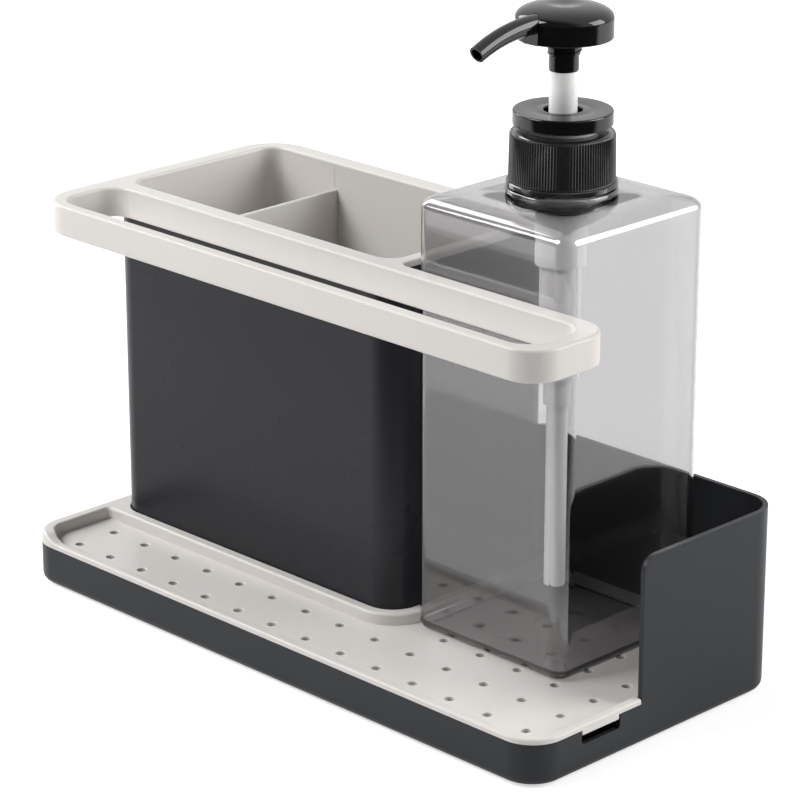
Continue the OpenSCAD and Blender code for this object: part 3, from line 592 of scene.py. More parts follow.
# Feet: black rubber from a sand-blasted tool, dull all over
foot_rubber = moulded_plastic("black_rubber_moulded", "#2b2b2c", "#272728", roughness=0.8, spread=0.05,
                              grain_mm=0.4, grain_depth_mm=0.02, ior=1.52, flow_mm=8.0)

# How much light the smoke grey walls take: over a wall of 0.6 mm, as much as a thicker one would
TINT_DENSITY = 205.0
# The walls' waves from blowing, across and up
WAVE_WIDTH = 28.0
WAVE_HEIGHT = 0.05


def smoke_petg():
    """Clear grey PETG, blow-moulded: its walls take a little light wherever they are crossed, more
    at the corners, and their faint waves bend what shows through and the reflections on them. Lamps
    shine through it, so that what stands inside and behind it is lit nearly as in the open."""
    material, tree, place = new_material("smoke_petg_blown")
    waves = noise(tree, place, WAVE_WIDTH, detail=1.0)
    relief = add(tree, "Bump", {"Height": waves, "Distance": WAVE_HEIGHT * MM, "Strength": 1.0})
    surface = add(tree, "BsdfPrincipled", {
        "Base Color": paint("#d2d1d2"), "Roughness": 0.02, "IOR": 1.6, "Transmission Weight": 1.0,
        "Coat Weight": 0.5, "Coat Roughness": 0.12, "Coat IOR": 1.6,
        "Normal": relief.outputs["Normal"]})
    passing = add(tree, "BsdfTransparent", {"Color": paint("#f0f0f0")})
    lamp_ray = add(tree, "LightPath").outputs["Is Shadow Ray"]
    wall = add(tree, "MixShader", {0: lamp_ray, 1: surface.outputs["BSDF"], 2: passing.outputs["BSDF"]})
    tint = add(tree, "VolumeAbsorption", {"Color": paint("#8a8a8e"), "Density": TINT_DENSITY})
    add(tree, "OutputMaterial", {"Surface": wall.outputs[0], "Volume": tint.outputs["Volume"]})
    return material


def clear_polyethylene():
    """The extruded dip tube: cloudy, so it shows as a pale line inside the bottle."""
    material, tree, place = new_material("clear_polyethylene_extruded")
    gloss = add(tree, "MapRange", {"Value": noise(tree, place, 4.0), "To Min": 0.25, "To Max": 0.4})
    surface = add(tree, "BsdfPrincipled", {
        "Base Color": paint("#fafafa"), "Roughness": gloss.outputs["Result"], "IOR": 1.51,
        "Subsurface Weight": 0.1, "Subsurface Scale": MM})
    add(tree, "OutputMaterial", {"Surface": surface.outputs["BSDF"]})
    return material


def steel(name, colour, roughness, mark_mm):
    """Steel, drawn or polished, with a gloss that varies a little over its tool's marks."""
    material, tree, place = new_material(name)
    marks = noise(tree, place, mark_mm, detail=3.0)
    gloss = add(tree, "MapRange", {"Value": marks, "To Min": roughness * 0.7, "To Max": roughness * 1.3})
    surface = add(tree, "BsdfPrincipled", {
        "Base Color": paint(colour), "Metallic": 1.0, "Roughness": gloss.outputs["Result"]})
    add(tree, "OutputMaterial", {"Surface": surface.outputs["BSDF"]})
    return material


smoke_clear = smoke_petg()
tube_clear = clear_polyethylene()
spring_steel = steel("spring_steel_drawn", "#b4b6b9", roughness=0.25, mark_mm=0.3)
ball_steel = steel("stainless_steel_polished", "#c8c9cb", roughness=0.08, mark_mm=1.0)

# Outlines that several pieces share
base_outline = rectangle(BASE_LOW, BASE_HIGH, BASE_CORNER)
cont_outline = rectangle(CONT_LOW, CONT_HIGH, CONT_CORNER)


def make_base():
    """The tub with its guard, and the outlet notch in its right side."""
    low_edge = edge(0, BASE_LOW.z, BASE_LOW_EDGE, -90, 0, LARGE_EDGE_STEPS)
    tub = block(base_outline, low_edge + [(0, BASE_HIGH.z)])
    floor_z = BASE_LOW.z + BASE_FLOOR
    top = BASE_HIGH.z + OVER
    guard_z = BASE_HIGH.z - GUARD_CORNER
    inside = block(grown(base_outline, -BASE_WALL),
                   [(-BASE_FLOOR_EDGE, floor_z), (0, floor_z + BASE_FLOOR_EDGE), (0, top)])

    def over_low_wall(start, guard):
        """What is cut away above the low wall, up to the guard's rounded end, seen from the side."""
        return ([(start - OVER, WALL_TOP), (guard, WALL_TOP)]
                + arc((guard + GUARD_CORNER, guard_z), GUARD_CORNER, 180, 90, GUARD_STEPS)
                + [(guard + GUARD_CORNER, top), (start - OVER, top)])

    front_air = prism_along_x(over_low_wall(BASE_LOW.y, GUARD_Y), BASE_LOW.x - OVER, BASE_HIGH.x + OVER)
    back_air = prism_along_y(over_low_wall(BASE_LOW.x, GUARD_X), GUARD_Y - 2 * OVER, BASE_HIGH.y + OVER)
    notch_y0 = BASE_LOW.y + NOTCH_FRONT
    notch_y1 = notch_y0 + NOTCH_WIDTH
    notch_z = WALL_TOP - NOTCH_DEPTH
    notch = prism_along_x(
        edge(notch_y0, notch_z, NOTCH_CORNER, 180, 270) + edge(notch_y1, notch_z, NOTCH_CORNER, 270, 360)
        + [(notch_y1, WALL_TOP + OVER), (notch_y0, WALL_TOP + OVER)],
        BASE_HIGH.x - BASE_WALL - OVER, BASE_HIGH.x + OVER)
    cutters = [inside, front_air, back_air, notch]
    for x in (-1, 1):
        for y in (-1, 1):
            centre = (x * (BASE_HIGH.x - FOOT_INSET), y * (BASE_HIGH.y - FOOT_INSET))
            cutters.append(block(circle(centre, FOOT_RADIUS + HAIR, RECESS_STEPS),
                                 [(0, BASE_LOW.z - OVER), (0, BASE_LOW.z + FOOT_RECESS)]))
    whole = shaped(tub, [("DIFFERENCE", cutter) for cutter in cutters])
    piece("base_tub", whole, dark_polypropylene, "base", "base_tray", bevelled=BASE_EDGE)


def make_foot(node):
    """A rubber disc with a rounded lower edge, let into the base."""
    low, high = box_mm(node)
    rim = circle(((low + high) / 2).xy, (high.x - low.x) / 2, FOOT_STEPS)
    disc = block(rim, edge(0, low.z, FOOT_EDGE, -90, 0) + [(0, high.z)])
    piece(node + "_rubber", disc, foot_rubber, "base", node)


def drain_plate():
    """The tray's plate, with drain holes wherever the container's collar leaves room for them."""
    bm = bmesh.new()
    low_holes = []
    high_holes = []
    columns = int((BASE_HIGH.x - BASE_LOW.x - HOLE_LEFT - HOLE_MARGIN) // HOLE_STEP_X)
    rows = int((BASE_HIGH.y - BASE_LOW.y - HOLE_FRONT - HOLE_MARGIN) // HOLE_STEP_Y)
    collar_front = CONT_LOW.y - FIT - COLLAR_WIDTH
    collar_right = CONT_HIGH.x + FIT + COLLAR_WIDTH
    profile = [(0, TRAY_LOW.z)] + edge(0, DRAIN_Z, HOLE_EDGE, 180, 90)
    for i in range(columns + 1):
        for j in range(rows + 1):
            x = BASE_LOW.x + HOLE_LEFT + i * HOLE_STEP_X
            y = BASE_LOW.y + HOLE_FRONT + j * HOLE_STEP_Y
            if y + 2 * HOLE_RADIUS < collar_front or x - 2 * HOLE_RADIUS > collar_right:
                hole = circle((x, y), HOLE_RADIUS, HOLE_STEPS)
                wall = [ring(bm, grown(hole, growth), z) for growth, z in profile]
                skins(bm, wall)
                low_holes.append(wall[0])
                high_holes.append(wall[-1])
    plate = grown(base_outline, -BASE_WALL - FIT)
    low_rim = ring(bm, plate, TRAY_LOW.z)
    high_rim = ring(bm, plate, DRAIN_Z)
    skins(bm, [low_rim, high_rim])
    sheet(bm, [low_rim] + low_holes)
    sheet(bm, [high_rim] + high_holes)
    return bm


def rim_stations():
    """Where the tray's rim runs, clockwise seen from above: (point, outward step, height share).

    The share is nought on the low lip and one on the high rim, and None inside the guard."""
    right, front, left, back = BASE_HIGH.x, BASE_LOW.y, BASE_LOW.x, BASE_HIGH.y
    r = BASE_CORNER
    ramp_low = left + RAMP_START + RAMP_LENGTH
    stations = [((right, GUARD_Y + LIP_END), (1, 0), None), ((right, GUARD_Y - FIT + HAIR), (1, 0), None),
                ((right, GUARD_Y - FIT), (1, 0), 0)]

    def height_share(x):
        return eased(min(1.0, max(0.0, (ramp_low - x) / RAMP_LENGTH)))

    def corner(centre, start, share=None):
        for i in range(CORNER_STEPS + 1):
            turn = math.radians(start - 90 * i / CORNER_STEPS)
            out = (math.cos(turn), math.sin(turn))
            x = centre[0] + r * out[0]
            stations.append(((x, centre[1] + r * out[1]), out, height_share(x) if share is None else share))

    corner((right - r, front + r), 0)
    for i in range(RAMP_STEPS):
        x = ramp_low - (ramp_low - left - r) * i / RAMP_STEPS
        stations.append(((x, front), (0, -1), height_share(x)))
    corner((left + r, front + r), 270)
    corner((left + r, back - r), 180, 1)
    stations.append(((GUARD_X - FIT, back), (0, 1), 1))
    return stations


def tray_rim():
    """The tray's rim: a low lip that slopes down to the plate, and a high wall at the left."""
    lip_z = WALL_TOP + LIP_HEIGHT
    low_z = DRAIN_Z - TONGUE
    inner = BASE_WALL + FIT
    under_lip = [(inner + LAP, low_z), (inner + LAP, WALL_TOP)]
    low_lip = [(0, WALL_TOP)] + edge(0, lip_z, LIP_EDGE, 180, 90)
    for i in range(SLOPE_STEPS + 1):
        way = i / SLOPE_STEPS
        across = LIP_WIDTH - LIP_TURN + (LIP_SLOPE + LIP_TURN + LIP_RUN_OUT) * way
        low_lip.append((across, lip_z - (lip_z - DRAIN_Z) * eased(way)))
    low_lip += [(LIP_WIDTH + LIP_SLOPE + LIP_RUN_OUT, low_z)] + under_lip
    high_rim = [(0, WALL_TOP)] + edge(0, TRAY_HIGH.z, RIM_EDGE, 180, 90)
    high_rim += edge(RIM_WIDTH, TRAY_HIGH.z, RIM_INNER_EDGE, 90, 0)
    high_rim += edge(RIM_WIDTH, DRAIN_Z, RIM_FOOT_EDGE, 180, 270, SMALL_EDGE_STEPS)
    high_rim += [(RIM_WIDTH + RIM_FOOT_EDGE, low_z)] + under_lip
    sections = []
    for (x, y), out, share in rim_stations():
        section = []
        for low, high in zip(low_lip, high_rim):
            across, z = Vector(low).lerp(Vector(high), share or 0)
            if share is None and across < inner:
                across = inner + HAIR * across / inner
            section.append(Vector((x - out[0] * across, y - out[1] * across, z)))
        sections.append(section)
    return tube(sections)


def container_collar():
    """The raised collar round the container's foot, which grows out of the high rim."""
    reach = FIT + COLLAR_WIDTH
    outer_r = CONT_CORNER + reach
    left = BASE_LOW.x + RIM_WIDTH / 2
    back = BASE_HIGH.y - BASE_WALL - FIT - 2 * LAP
    end = math.degrees(math.acos(CONT_CORNER / outer_r))
    back_corner = (CONT_HIGH.x - CONT_CORNER, CONT_HIGH.y - CONT_CORNER)
    front_corner = (CONT_HIGH.x - CONT_CORNER, CONT_LOW.y + CONT_CORNER)
    fill = (BASE_LOW.x + RIM_WIDTH + INNER_CORNER - LAP, CONT_LOW.y - reach - INNER_CORNER)
    front = fill[1] - 2 * COLLAR_EDGE
    outline = [Vector((left, front)), Vector((fill[0] - INNER_CORNER, front))]
    outline += arc(fill, INNER_CORNER, 180, 90, LARGE_EDGE_STEPS)
    outline += arc(front_corner, outer_r, -90, 0, CORNER_STEPS)
    outline += arc(back_corner, outer_r, 0, end, LARGE_EDGE_STEPS)
    outline += [Vector((CONT_HIGH.x, back)), Vector((left, back))]
    top_edge = edge(0, TRAY_HIGH.z - HAIR, COLLAR_EDGE, 0, 90)
    return block(outline, [(0, DRAIN_Z - TONGUE - LAP)] + top_edge)


def make_drip_tray():
    """Plate, rim, the container's collar with its well, and the tab in the base's outlet notch."""
    well = block(grown(cont_outline, FIT), [(0, DRAIN_Z)] + edge(0, TRAY_HIGH.z, WELL_EDGE, 180, 90)
                 + [(WELL_EDGE, TRAY_HIGH.z + OVER)])
    inner = BASE_WALL + FIT
    notch_y = BASE_LOW.y + NOTCH_FRONT
    tab_low = (BASE_HIGH.x - inner - FIT, notch_y + FIT)
    tab_high = (BASE_HIGH.x - LAP, notch_y + NOTCH_WIDTH - FIT)
    tab_z = TRAY_LOW.z + LAP
    tab = block(rectangle(tab_low, tab_high, 2 * TAB_EDGE, TAB_STEPS),
                [(-TAB_EDGE, tab_z), (0, tab_z + TAB_EDGE), (0, WALL_TOP + LIP_HEIGHT / 2)])
    whole = shaped(drain_plate(), [("UNION", tray_rim()), ("UNION", container_collar()),
                                   ("DIFFERENCE", well), ("UNION", tab)])
    piece("drip_tray_moulding", whole, pale_polypropylene, "tray", "drip_tray")


def make_container():
    """A tall box with round corners and a rounded lower edge, open at its top."""
    floor_z = CONT_LOW.z + CONT_FLOOR
    profile = edge(0, CONT_LOW.z, CONT_LOW_EDGE, -90, 0) + edge(0, CONT_HIGH.z, CONT_TOP_EDGE, 0, 90)
    profile += edge(-CONT_WALL, CONT_HIGH.z, CONT_TOP_EDGE, 90, 180)
    profile += [(-CONT_WALL, floor_z + CONT_FLOOR_EDGE), (-CONT_WALL - CONT_FLOOR_EDGE, floor_z)]
    box = block(cont_outline, profile)
    piece("container_box", box, dark_satin, "brush_container", "container")


def organiser_outline():
    """The organiser's plan: compartments at the left, the rail running on past the bay."""
    bay_y = SLOT_BACK + BAY_BAR
    right = CONT_HIGH.x
    return rounded([(ORG_LOW.x, ORG_LOW.y, ORG_CORNER), (ORG_HIGH.x, ORG_LOW.y, RAIL_CORNER),
                    (ORG_HIGH.x, bay_y, RAIL_CORNER), (right, bay_y, BAY_CORNER),
                    (right, ORG_HIGH.y, CONT_CORNER), (ORG_LOW.x, ORG_HIGH.y, ORG_CORNER)])


def flared(z0, z1, edge_low, edge_high):
    """A cutter's profile that rounds the edges of the hole that it makes."""
    return ([(edge_low, z0 - OVER)] + edge(0, z0, edge_low, 270, 180)
            + edge(0, z1, edge_high, 180, 90) + [(edge_high, z1 + OVER)])


def make_organiser():
    """The pale moulding: rim and skirt, the compartments' sleeve and the cloth rail."""
    rim_z = ORG_HIGH.z - RIM_HEIGHT
    body = block(organiser_outline(),
                 edge(0, rim_z, ORG_LOW_EDGE, -90, 0) + edge(0, ORG_HIGH.z, ORG_EDGE, 0, 90))
    cavity = block(grown(cont_outline, FIT), [(0, rim_z - OVER), (0, CONT_HIGH.z)])
    comp_low = (ORG_LOW.x + COMP_LEFT, SLOT_BACK + COMP_FRONT)
    comp_high = (CONT_HIGH.x - COMP_RIGHT, ORG_HIGH.y - COMP_BACK)
    comp = rectangle(comp_low, comp_high, COMP_CORNER)
    plate_z = ORG_HIGH.z - ORG_PLATE
    sleeve = block(grown(comp, SLEEVE_WALL), [(-SLEEVE_EDGE, ORG_LOW.z), (0, ORG_LOW.z + SLEEVE_EDGE),
                                              (0, plate_z + ORG_PLATE / 2)])
    inside = block(comp, flared(ORG_LOW.z, ORG_HIGH.z, SLEEVE_EDGE, ORG_EDGE))
    slot = rectangle((ORG_LOW.x + COMP_LEFT, SLOT_BACK - SLOT_WIDTH), (ORG_HIGH.x - SLOT_END, SLOT_BACK),
                     SLOT_CORNER)
    cloth_slot = block(slot, flared(rim_z, ORG_HIGH.z, ORG_LOW_EDGE, ORG_EDGE))
    groove_x = (DIV_LOW.x + DIV_HIGH.x) / 2
    groove_half = (DIV_HIGH.x - DIV_LOW.x + FIT) / 2
    grooves = block(rectangle((groove_x - groove_half, comp_low[1] - GROOVE),
                              (groove_x + groove_half, comp_high[1] + GROOVE), 0),
                    [(0, DIV_LOW.z), (0, plate_z)])
    whole = shaped(body, [("DIFFERENCE", cavity), ("UNION", sleeve), ("DIFFERENCE", inside),
                          ("DIFFERENCE", cloth_slot), ("DIFFERENCE", grooves)])
    piece("organiser_moulding", whole, pale_polypropylene, "rail_organiser", "organiser")


def make_divider():
    """A thin wall with a rounded top edge."""
    y0 = SLOT_BACK + COMP_FRONT - DIVIDER_SINK
    y1 = ORG_HIGH.y - COMP_BACK + DIVIDER_SINK
    profile = [(-DIVIDER_LOW_EDGE, DIV_LOW.z), (0, DIV_LOW.z + DIVIDER_LOW_EDGE)]
    profile += edge(0, DIV_HIGH.z, DIVIDER_EDGE, 0, 90)
    wall = block(rectangle((DIV_LOW.x, y0), (DIV_HIGH.x, y1), 0), profile)
    piece("divider_wall", wall, pale_polypropylene, "divider", "compartment_divider")


def make_bottle():
    """The blown bottle: square body with real walls, a full shoulder, and a neck with its ring."""
    bm = bmesh.new()
    r = BOTTLE_LOW_EDGE
    wall = BOTTLE_WALL
    z0 = BOTTLE_LOW.z
    z1 = SHOULDER_Z

    def body_ring(inset, z):
        corner = BOTTLE_CORNER - min(inset, r) + max(0.0, inset - r) * CORNER_GROWTH
        low = BOTTLE_LOW + Vector((inset, inset, 0))
        high = BOTTLE_HIGH - Vector((inset, inset, 0))
        return ring(bm, with_side_points(rectangle(low, high, max(SMALLEST_CORNER, corner))), z)

    def shoulder(depth):
        """Inset and height from the side face up to the flat round the neck, at a depth in the wall."""
        run = SHOULDER_RUN - depth
        drop = SHOULDER_DROP - depth
        rows = []
        for i in range(SHOULDER_STEPS + 1):
            turn = math.radians(90 * i / SHOULDER_STEPS)
            rows.append((SHOULDER_RUN - run * math.cos(turn) ** (2 / SHOULDER_FULLNESS),
                         z1 - depth - drop + drop * math.sin(turn) ** (2 / SHOULDER_FULLNESS)))
        return rows

    punt = [(r + PUNT_RUN, z0 + PUNT_DEPTH), (r + 0.3 * PUNT_RUN, z0 + PUNT_DEPTH / 4)]
    profile = punt + edge(0, z0, r, 270, 180, LARGE_EDGE_STEPS) + shoulder(0.0)
    outside = [body_ring(inset, z) for inset, z in profile]
    skins(bm, outside)
    sheet(bm, [outside[0]])

    ring_low = z1 + NECK_FOOT
    ring_top = ring_low + RING_HEIGHT
    root_z = z1 - wall - NECK_ROOT
    neck = [(NECK_FOOT_RADIUS + NECK_FILLET, z1), (NECK_FOOT_RADIUS, z1 + NECK_FOOT / 2),
            (NECK_FOOT_RADIUS, ring_low - NECK_FOOT / 8)]
    neck += edge(RING_RADIUS, ring_low, RING_EDGE, -90, 0) + edge(RING_RADIUS, ring_top, RING_EDGE, 0, 90)
    neck += [(NECK_RADIUS + NECK_FILLET, ring_top), (NECK_RADIUS, ring_top + NECK_FILLET)]
    neck += edge(NECK_RADIUS, BOTTLE_HIGH.z, NECK_EDGE, 0, 90, SMALL_EDGE_STEPS)
    neck += edge(NECK_BORE, BOTTLE_HIGH.z, NECK_EDGE, 90, 180, SMALL_EDGE_STEPS)
    neck += [(NECK_BORE, root_z + ROOT_EDGE), (NECK_BORE + ROOT_EDGE, root_z)]
    neck_rows = [ring(bm, circle(AXIS, radius), z) for radius, z in neck]
    skins(bm, neck_rows)
    sheet(bm, [outside[-1], neck_rows[0]])

    floor_z = z0 + BOTTLE_FLOOR + PUNT_DEPTH
    inside_profile = shoulder(wall)[::-1] + edge(wall, floor_z, r - wall, 180, 270, LARGE_EDGE_STEPS)
    inside = [body_ring(inset, z) for inset, z in inside_profile]
    skins(bm, inside)
    # The inner skin dips towards the neck, where the wall is thick
    root = []
    for step in range(ROOT_STEPS):
        way = step / ROOT_STEPS
        row = []
        for corner in inside[0]:
            spot = corner.co.xy / MM
            rim = AXIS + (spot - AXIS).normalized() * (NECK_BORE + ROOT_FLAT)
            row.append(spot.lerp(rim, 1 - way))
        root.append(ring(bm, row, root_z + NECK_ROOT * way * (2 - way)))
    skins(bm, root + [inside[0]])
    sheet(bm, [root[0], neck_rows[-1]])
    sheet(bm, [inside[-1]])
    piece("bottle_blown", bm, smoke_clear, "soap_bottle", "bottle")


def make_closure():
    """The closure: a smooth band, fine upright ribs that taper in, and a raised step round its hole."""
    bm = bmesh.new()
    steps = RIB_COUNT * len(RIB_WAVE)

    def row(radius, z, depth):
        """A ring that dips by a depth between the ribs."""
        points = []
        for i, spot in enumerate(circle(AXIS, 1.0, steps)):
            reach = radius - depth * (1 - RIB_WAVE[i % len(RIB_WAVE)])
            points.append(AXIS + (spot - AXIS) * reach)
        return ring(bm, points, z)

    z_low = CLOSURE_LOW.z
    band_top = z_low + BAND_HEIGHT
    rib_top = CLOSURE_HIGH.z - CLOSURE_DROP
    step_z = CLOSURE_HIGH.z - CLOSURE_STEP
    inner_top = CLOSURE_HIGH.z - CLOSURE_TOP
    inner = NECK_RADIUS + FIT
    high_r = RIB_RADIUS - RIB_TAPER
    # Radius, height and rib depth, from the bore's lower end out over the band
    profile = [(inner, z_low, 0), (BAND_RADIUS - BAND_EDGE, z_low, 0), (BAND_RADIUS, z_low + BAND_EDGE, 0),
               (BAND_RADIUS, band_top - BAND_EDGE, 0), (BAND_RADIUS - 0.3, band_top - 0.1, 0)]
    # Up the ribs, which start from nothing above the band and end in a rounded top edge
    profile += [(RIB_RADIUS - 0.2, band_top, 0), (RIB_RADIUS, band_top + 0.15, 0),
                (RIB_RADIUS, band_top + 0.7, RIB_DEPTH), (high_r, rib_top - 0.5, RIB_DEPTH),
                (high_r - 0.15, rib_top - 0.1, RIB_DEPTH * 0.6), (high_r - 0.3, rib_top + 0.1, 0),
                (high_r - 0.5, rib_top + 0.12, 0)]
    # Up the step, down the hole and back to the bore
    profile += [(inner + 0.7, rib_top, 0), (inner, step_z - CLOSURE_EDGE, 0), (inner - 0.2, step_z, 0),
                (CLOSURE_HOLE + CLOSURE_EDGE, step_z, 0), (CLOSURE_HOLE, step_z - CLOSURE_EDGE, 0),
                (CLOSURE_HOLE, inner_top, 0), (inner, inner_top, 0)]
    rows = [row(*point) for point in profile]
    skins(bm, rows + rows[:1])
    piece("closure_ribbed", bm, ribbed_black, "closure", "closure_collar")


def make_lock_disc():
    """The glossy disc that the nozzle locks down into, with a shallow hollow turned into its top."""
    outer = (DISC_HIGH.x - DISC_LOW.x) / 2
    bore = SOCKET_RADIUS + FIT
    z0 = DISC_LOW.z
    z1 = DISC_HIGH.z
    flat_z = z1 - DISC_FLAT_DEPTH
    profile = [(bore, z0)] + edge(outer, z0, DISC_EDGE, -90, 0) + edge(outer, z1, DISC_EDGE, 0, 90)
    profile += [(outer * share, z1 - depth) for share, depth in DISC_HOLLOW]
    profile += [(DISC_HOLE + DISC_FLAT_WIDTH, flat_z)]
    profile += edge(DISC_HOLE, flat_z, DISC_HOLE_EDGE, 90, 180, SMALL_EDGE_STEPS)
    profile += [(DISC_HOLE, z0 + DISC_FLOOR), (bore, z0 + DISC_FLOOR)]
    disc = turned(profile, closed=True)
    piece("lock_disc_turned", disc, gloss_black, "pump", "lock_disc")


def thread_ridge(z_low):
    """The lock-down thread: a small ridge run round the axis, drawn in at both ends."""
    root = THREAD_RADIUS - THREAD_HEIGHT
    half = THREAD_WIDTH / 2
    tip_half = THREAD_WIDTH * THREAD_TIP
    sections = []
    for i in range(THREAD_STEPS + 1):
        way = i / THREAD_STEPS
        turn = math.radians(THREAD_START + 360 * THREAD_TURNS * way)
        rise = THREAD_HEIGHT * min(1.0, 6 * way + 0.05, 6 * (1 - way) + 0.05)
        out = Vector((math.cos(turn), math.sin(turn), 0))
        centre = Vector((AXIS.x, AXIS.y, z_low + THREAD_PITCH * THREAD_TURNS * way))
        corners = ((root - THREAD_SUNK, -half), (root + rise, -tip_half),
                   (root + rise, tip_half), (root - THREAD_SUNK, half))
        sections.append([centre + out * reach + Vector((0, 0, up)) for reach, up in corners])
    return tube(sections)


def spout_sections(radius, taper, start, beyond, sides):
    """Round sections along the spout's path: straight towards the front, then bent down."""
    angle = math.asin((SPOUT_REACH - SPOUT_STRAIGHT) / SPOUT_BEND)
    z = CAP_LOW.z + SPOUT_HEIGHT
    straight = SPOUT_STRAIGHT - start
    path = [(start + straight * i / STRAIGHT_STEPS, 0.0, 0.0) for i in range(STRAIGHT_STEPS)]
    for i in range(BEND_STEPS + 1):
        turn = angle * i / BEND_STEPS
        path.append((SPOUT_STRAIGHT + SPOUT_BEND * math.sin(turn), SPOUT_BEND * (1 - math.cos(turn)), turn))
    if beyond:
        reach, drop, turn = path[-1]
        path.append((reach + beyond * math.cos(turn), drop + beyond * math.sin(turn), turn))
    bent = path[-1][0] - SPOUT_STRAIGHT
    side = Vector((1, 0, 0))
    sections = []
    for reach, drop, turn in path:
        size = radius - taper * max(0.0, (reach - SPOUT_STRAIGHT) / bent)
        up = Vector((0, -math.sin(turn), math.cos(turn)))
        centre = Vector((AXIS.x, AXIS.y - reach, z - drop))
        sections.append([centre + side * x + up * y for x, y in circle((0, 0), size, sides)])
    return sections


def spout_gate(gap, z_low, near, far):
    """The upright slot that the spout leaves the cap through, as a solid, grown by a gap."""
    half = SPOUT_RADIUS + gap
    outline = [(AXIS.x - half, z_low), (AXIS.x + half, z_low)]
    outline += arc((AXIS.x, CAP_LOW.z + SPOUT_HEIGHT), half, 0, 180, GATE_STEPS)
    return prism_along_y(outline, AXIS.y - near, AXIS.y - far)


def make_nozzle():
    """Socket, lock-down thread, the plate and hub under the cap, and the spout with its bore."""
    z0 = NOZZLE_LOW.z
    thread_z = z0 + SOCKET_HEIGHT
    plate_z = CAP_LOW.z + HEAD_WALL / 2
    plate_r = CAP_RADIUS - HEAD_WALL - GATE_GAP
    side_top = CAP_LOW.z + HEAD_SIDE
    hub_top = (side_top + CAP_HIGH.z) / 2
    profile = [(0, z0 + SPIGOT_DEPTH), (SPIGOT_RADIUS, z0 + SPIGOT_DEPTH),
               (SPIGOT_RADIUS, z0 + SPIGOT_EDGE), (SPIGOT_RADIUS + SPIGOT_EDGE, z0)]
    profile += edge(SOCKET_RADIUS, z0, SOCKET_EDGE, -90, 0)
    profile += [(SOCKET_RADIUS, thread_z - THREAD_CONE), (THREAD_CORE, thread_z + THREAD_CONE),
                (THREAD_CORE, plate_z), (plate_r, plate_z), (plate_r, plate_z + HEAD_PLATE),
                (HUB_RADIUS, plate_z + HEAD_PLATE), (HUB_RADIUS, hub_top), (0, hub_top)]
    spout = tube(spout_sections(SPOUT_RADIUS, SPOUT_TAPER, start=0.5, beyond=0, sides=SPOUT_SIDES))
    bore = tube(spout_sections(SPOUT_BORE, BORE_TAPER, start=3.0, beyond=OVER, sides=BORE_SIDES))
    gate = spout_gate(0.0, CAP_LOW.z + HAIR, near=plate_r - 0.5, far=CAP_RADIUS - GATE_GAP)
    ridge = thread_ridge(thread_z + THREAD_HEIGHT)
    whole = shaped(turned(profile), [("UNION", spout), ("UNION", gate), ("UNION", ridge),
                                     ("DIFFERENCE", bore)])
    piece("nozzle_spout", whole, gloss_black, "pump_head", "nozzle")


def make_head_cap():
    """The domed cap with its finger dish, open below and at the spout."""
    side_z = CAP_LOW.z + HEAD_SIDE
    rise = CAP_HIGH.z - side_z
    dish_z = CAP_HIGH.z - DISH_DEPTH

    def dome(inset):
        """The dome's profile from its side to just before its middle, dished, at a depth in the wall."""
        points = []
        for i in range(DOME_STEPS):
            turn = math.radians(90 * i / DOME_STEPS)
            r = (CAP_RADIUS - inset) * math.cos(turn) ** DOME_FULLNESS
            z = side_z - inset / 2 + (rise - inset / 2) * math.sin(turn) ** DOME_FULLNESS
            dip = DISH_DEPTH * (0.5 + 0.5 * math.cos(math.pi * min(1.0, r / DISH_RADIUS)))
            points.append((r, z - dip))
        return points

    profile = edge(CAP_RADIUS, CAP_LOW.z, CAP_EDGE, -90, 0, SMALL_EDGE_STEPS) + dome(0.0) + [(0, dish_z)]
    inner_r = CAP_RADIUS - HEAD_WALL
    profile += [(0, dish_z - HEAD_WALL)] + dome(HEAD_WALL)[::-1]
    profile += [(inner_r, CAP_LOW.z + CAP_INNER_EDGE), (inner_r + CAP_INNER_EDGE, CAP_LOW.z)]
    shell = turned(profile, CAP_STEPS, closed=True)
    gate = spout_gate(CAP_FIT, CAP_LOW.z - OVER, near=9.0, far=CAP_RADIUS + OVER)
    piece("head_cap_domed", shaped(shell, [("DIFFERENCE", gate)]), gloss_black, "pump_head",
          "head_cap")


make_base()
for foot_node in sorted(name for name in nodes if name.startswith("foot_")):
    make_foot(foot_node)
make_drip_tray()
make_container()
make_organiser()
make_divider()
make_bottle()
make_closure()
make_lock_disc()
make_nozzle()
make_head_cap()

# CAD nodes whose shape is right keep it, and take their finish here
for node, finish in {"pump_housing": white_polypropylene, "stem_guide": white_polypropylene,
                     "stem": white_polypropylene, "neck_gasket": white_polyethylene,
                     "piston": white_polyethylene, "dip_tube": tube_clear,
                     "return_spring": spring_steel, "inlet_ball": ball_steel}.items():
    nodes[node].data.materials.clear()
    nodes[node].data.materials.append(finish)


# The set: a white floor in a bright room that is dark towards the front, and soft boxes.
# How bright the floor looks straight and in a mirror, and the room in a mirror at its back and its
# front, and what the room adds to the lamps
FLOOR_GLOW = 0.6
FLOOR_MIRRORED = 0.3
ROOM_MIRRORED = 0.9
ROOM_DARK = 0.1
ROOM_FILL = 0.14
# The floor's end by the camera and the room's front: a direction, and where it starts and is dark
FLOOR_END = ((0.71, -0.7, 0), 0.1, 0.32)
ROOM_FRONT = ((0, -1, 0), -0.1, 0.5)
# Half the floor's side, and the spot that the lamps face, in metres
HALF_FLOOR = 6.0
AIM = Vector((0, 0, 0.1))

# The photograph's view: a long lens from the front right, a little above
LENS_PIXELS = 3369.1
PICTURE_PIXELS = 800
SENSOR_MM = 36.0
CAMERA_YAW = 45.32
CAMERA_PITCH = 19.669
CAMERA_PLACE = Vector((821.2, -806.3, 501.9)) * MM


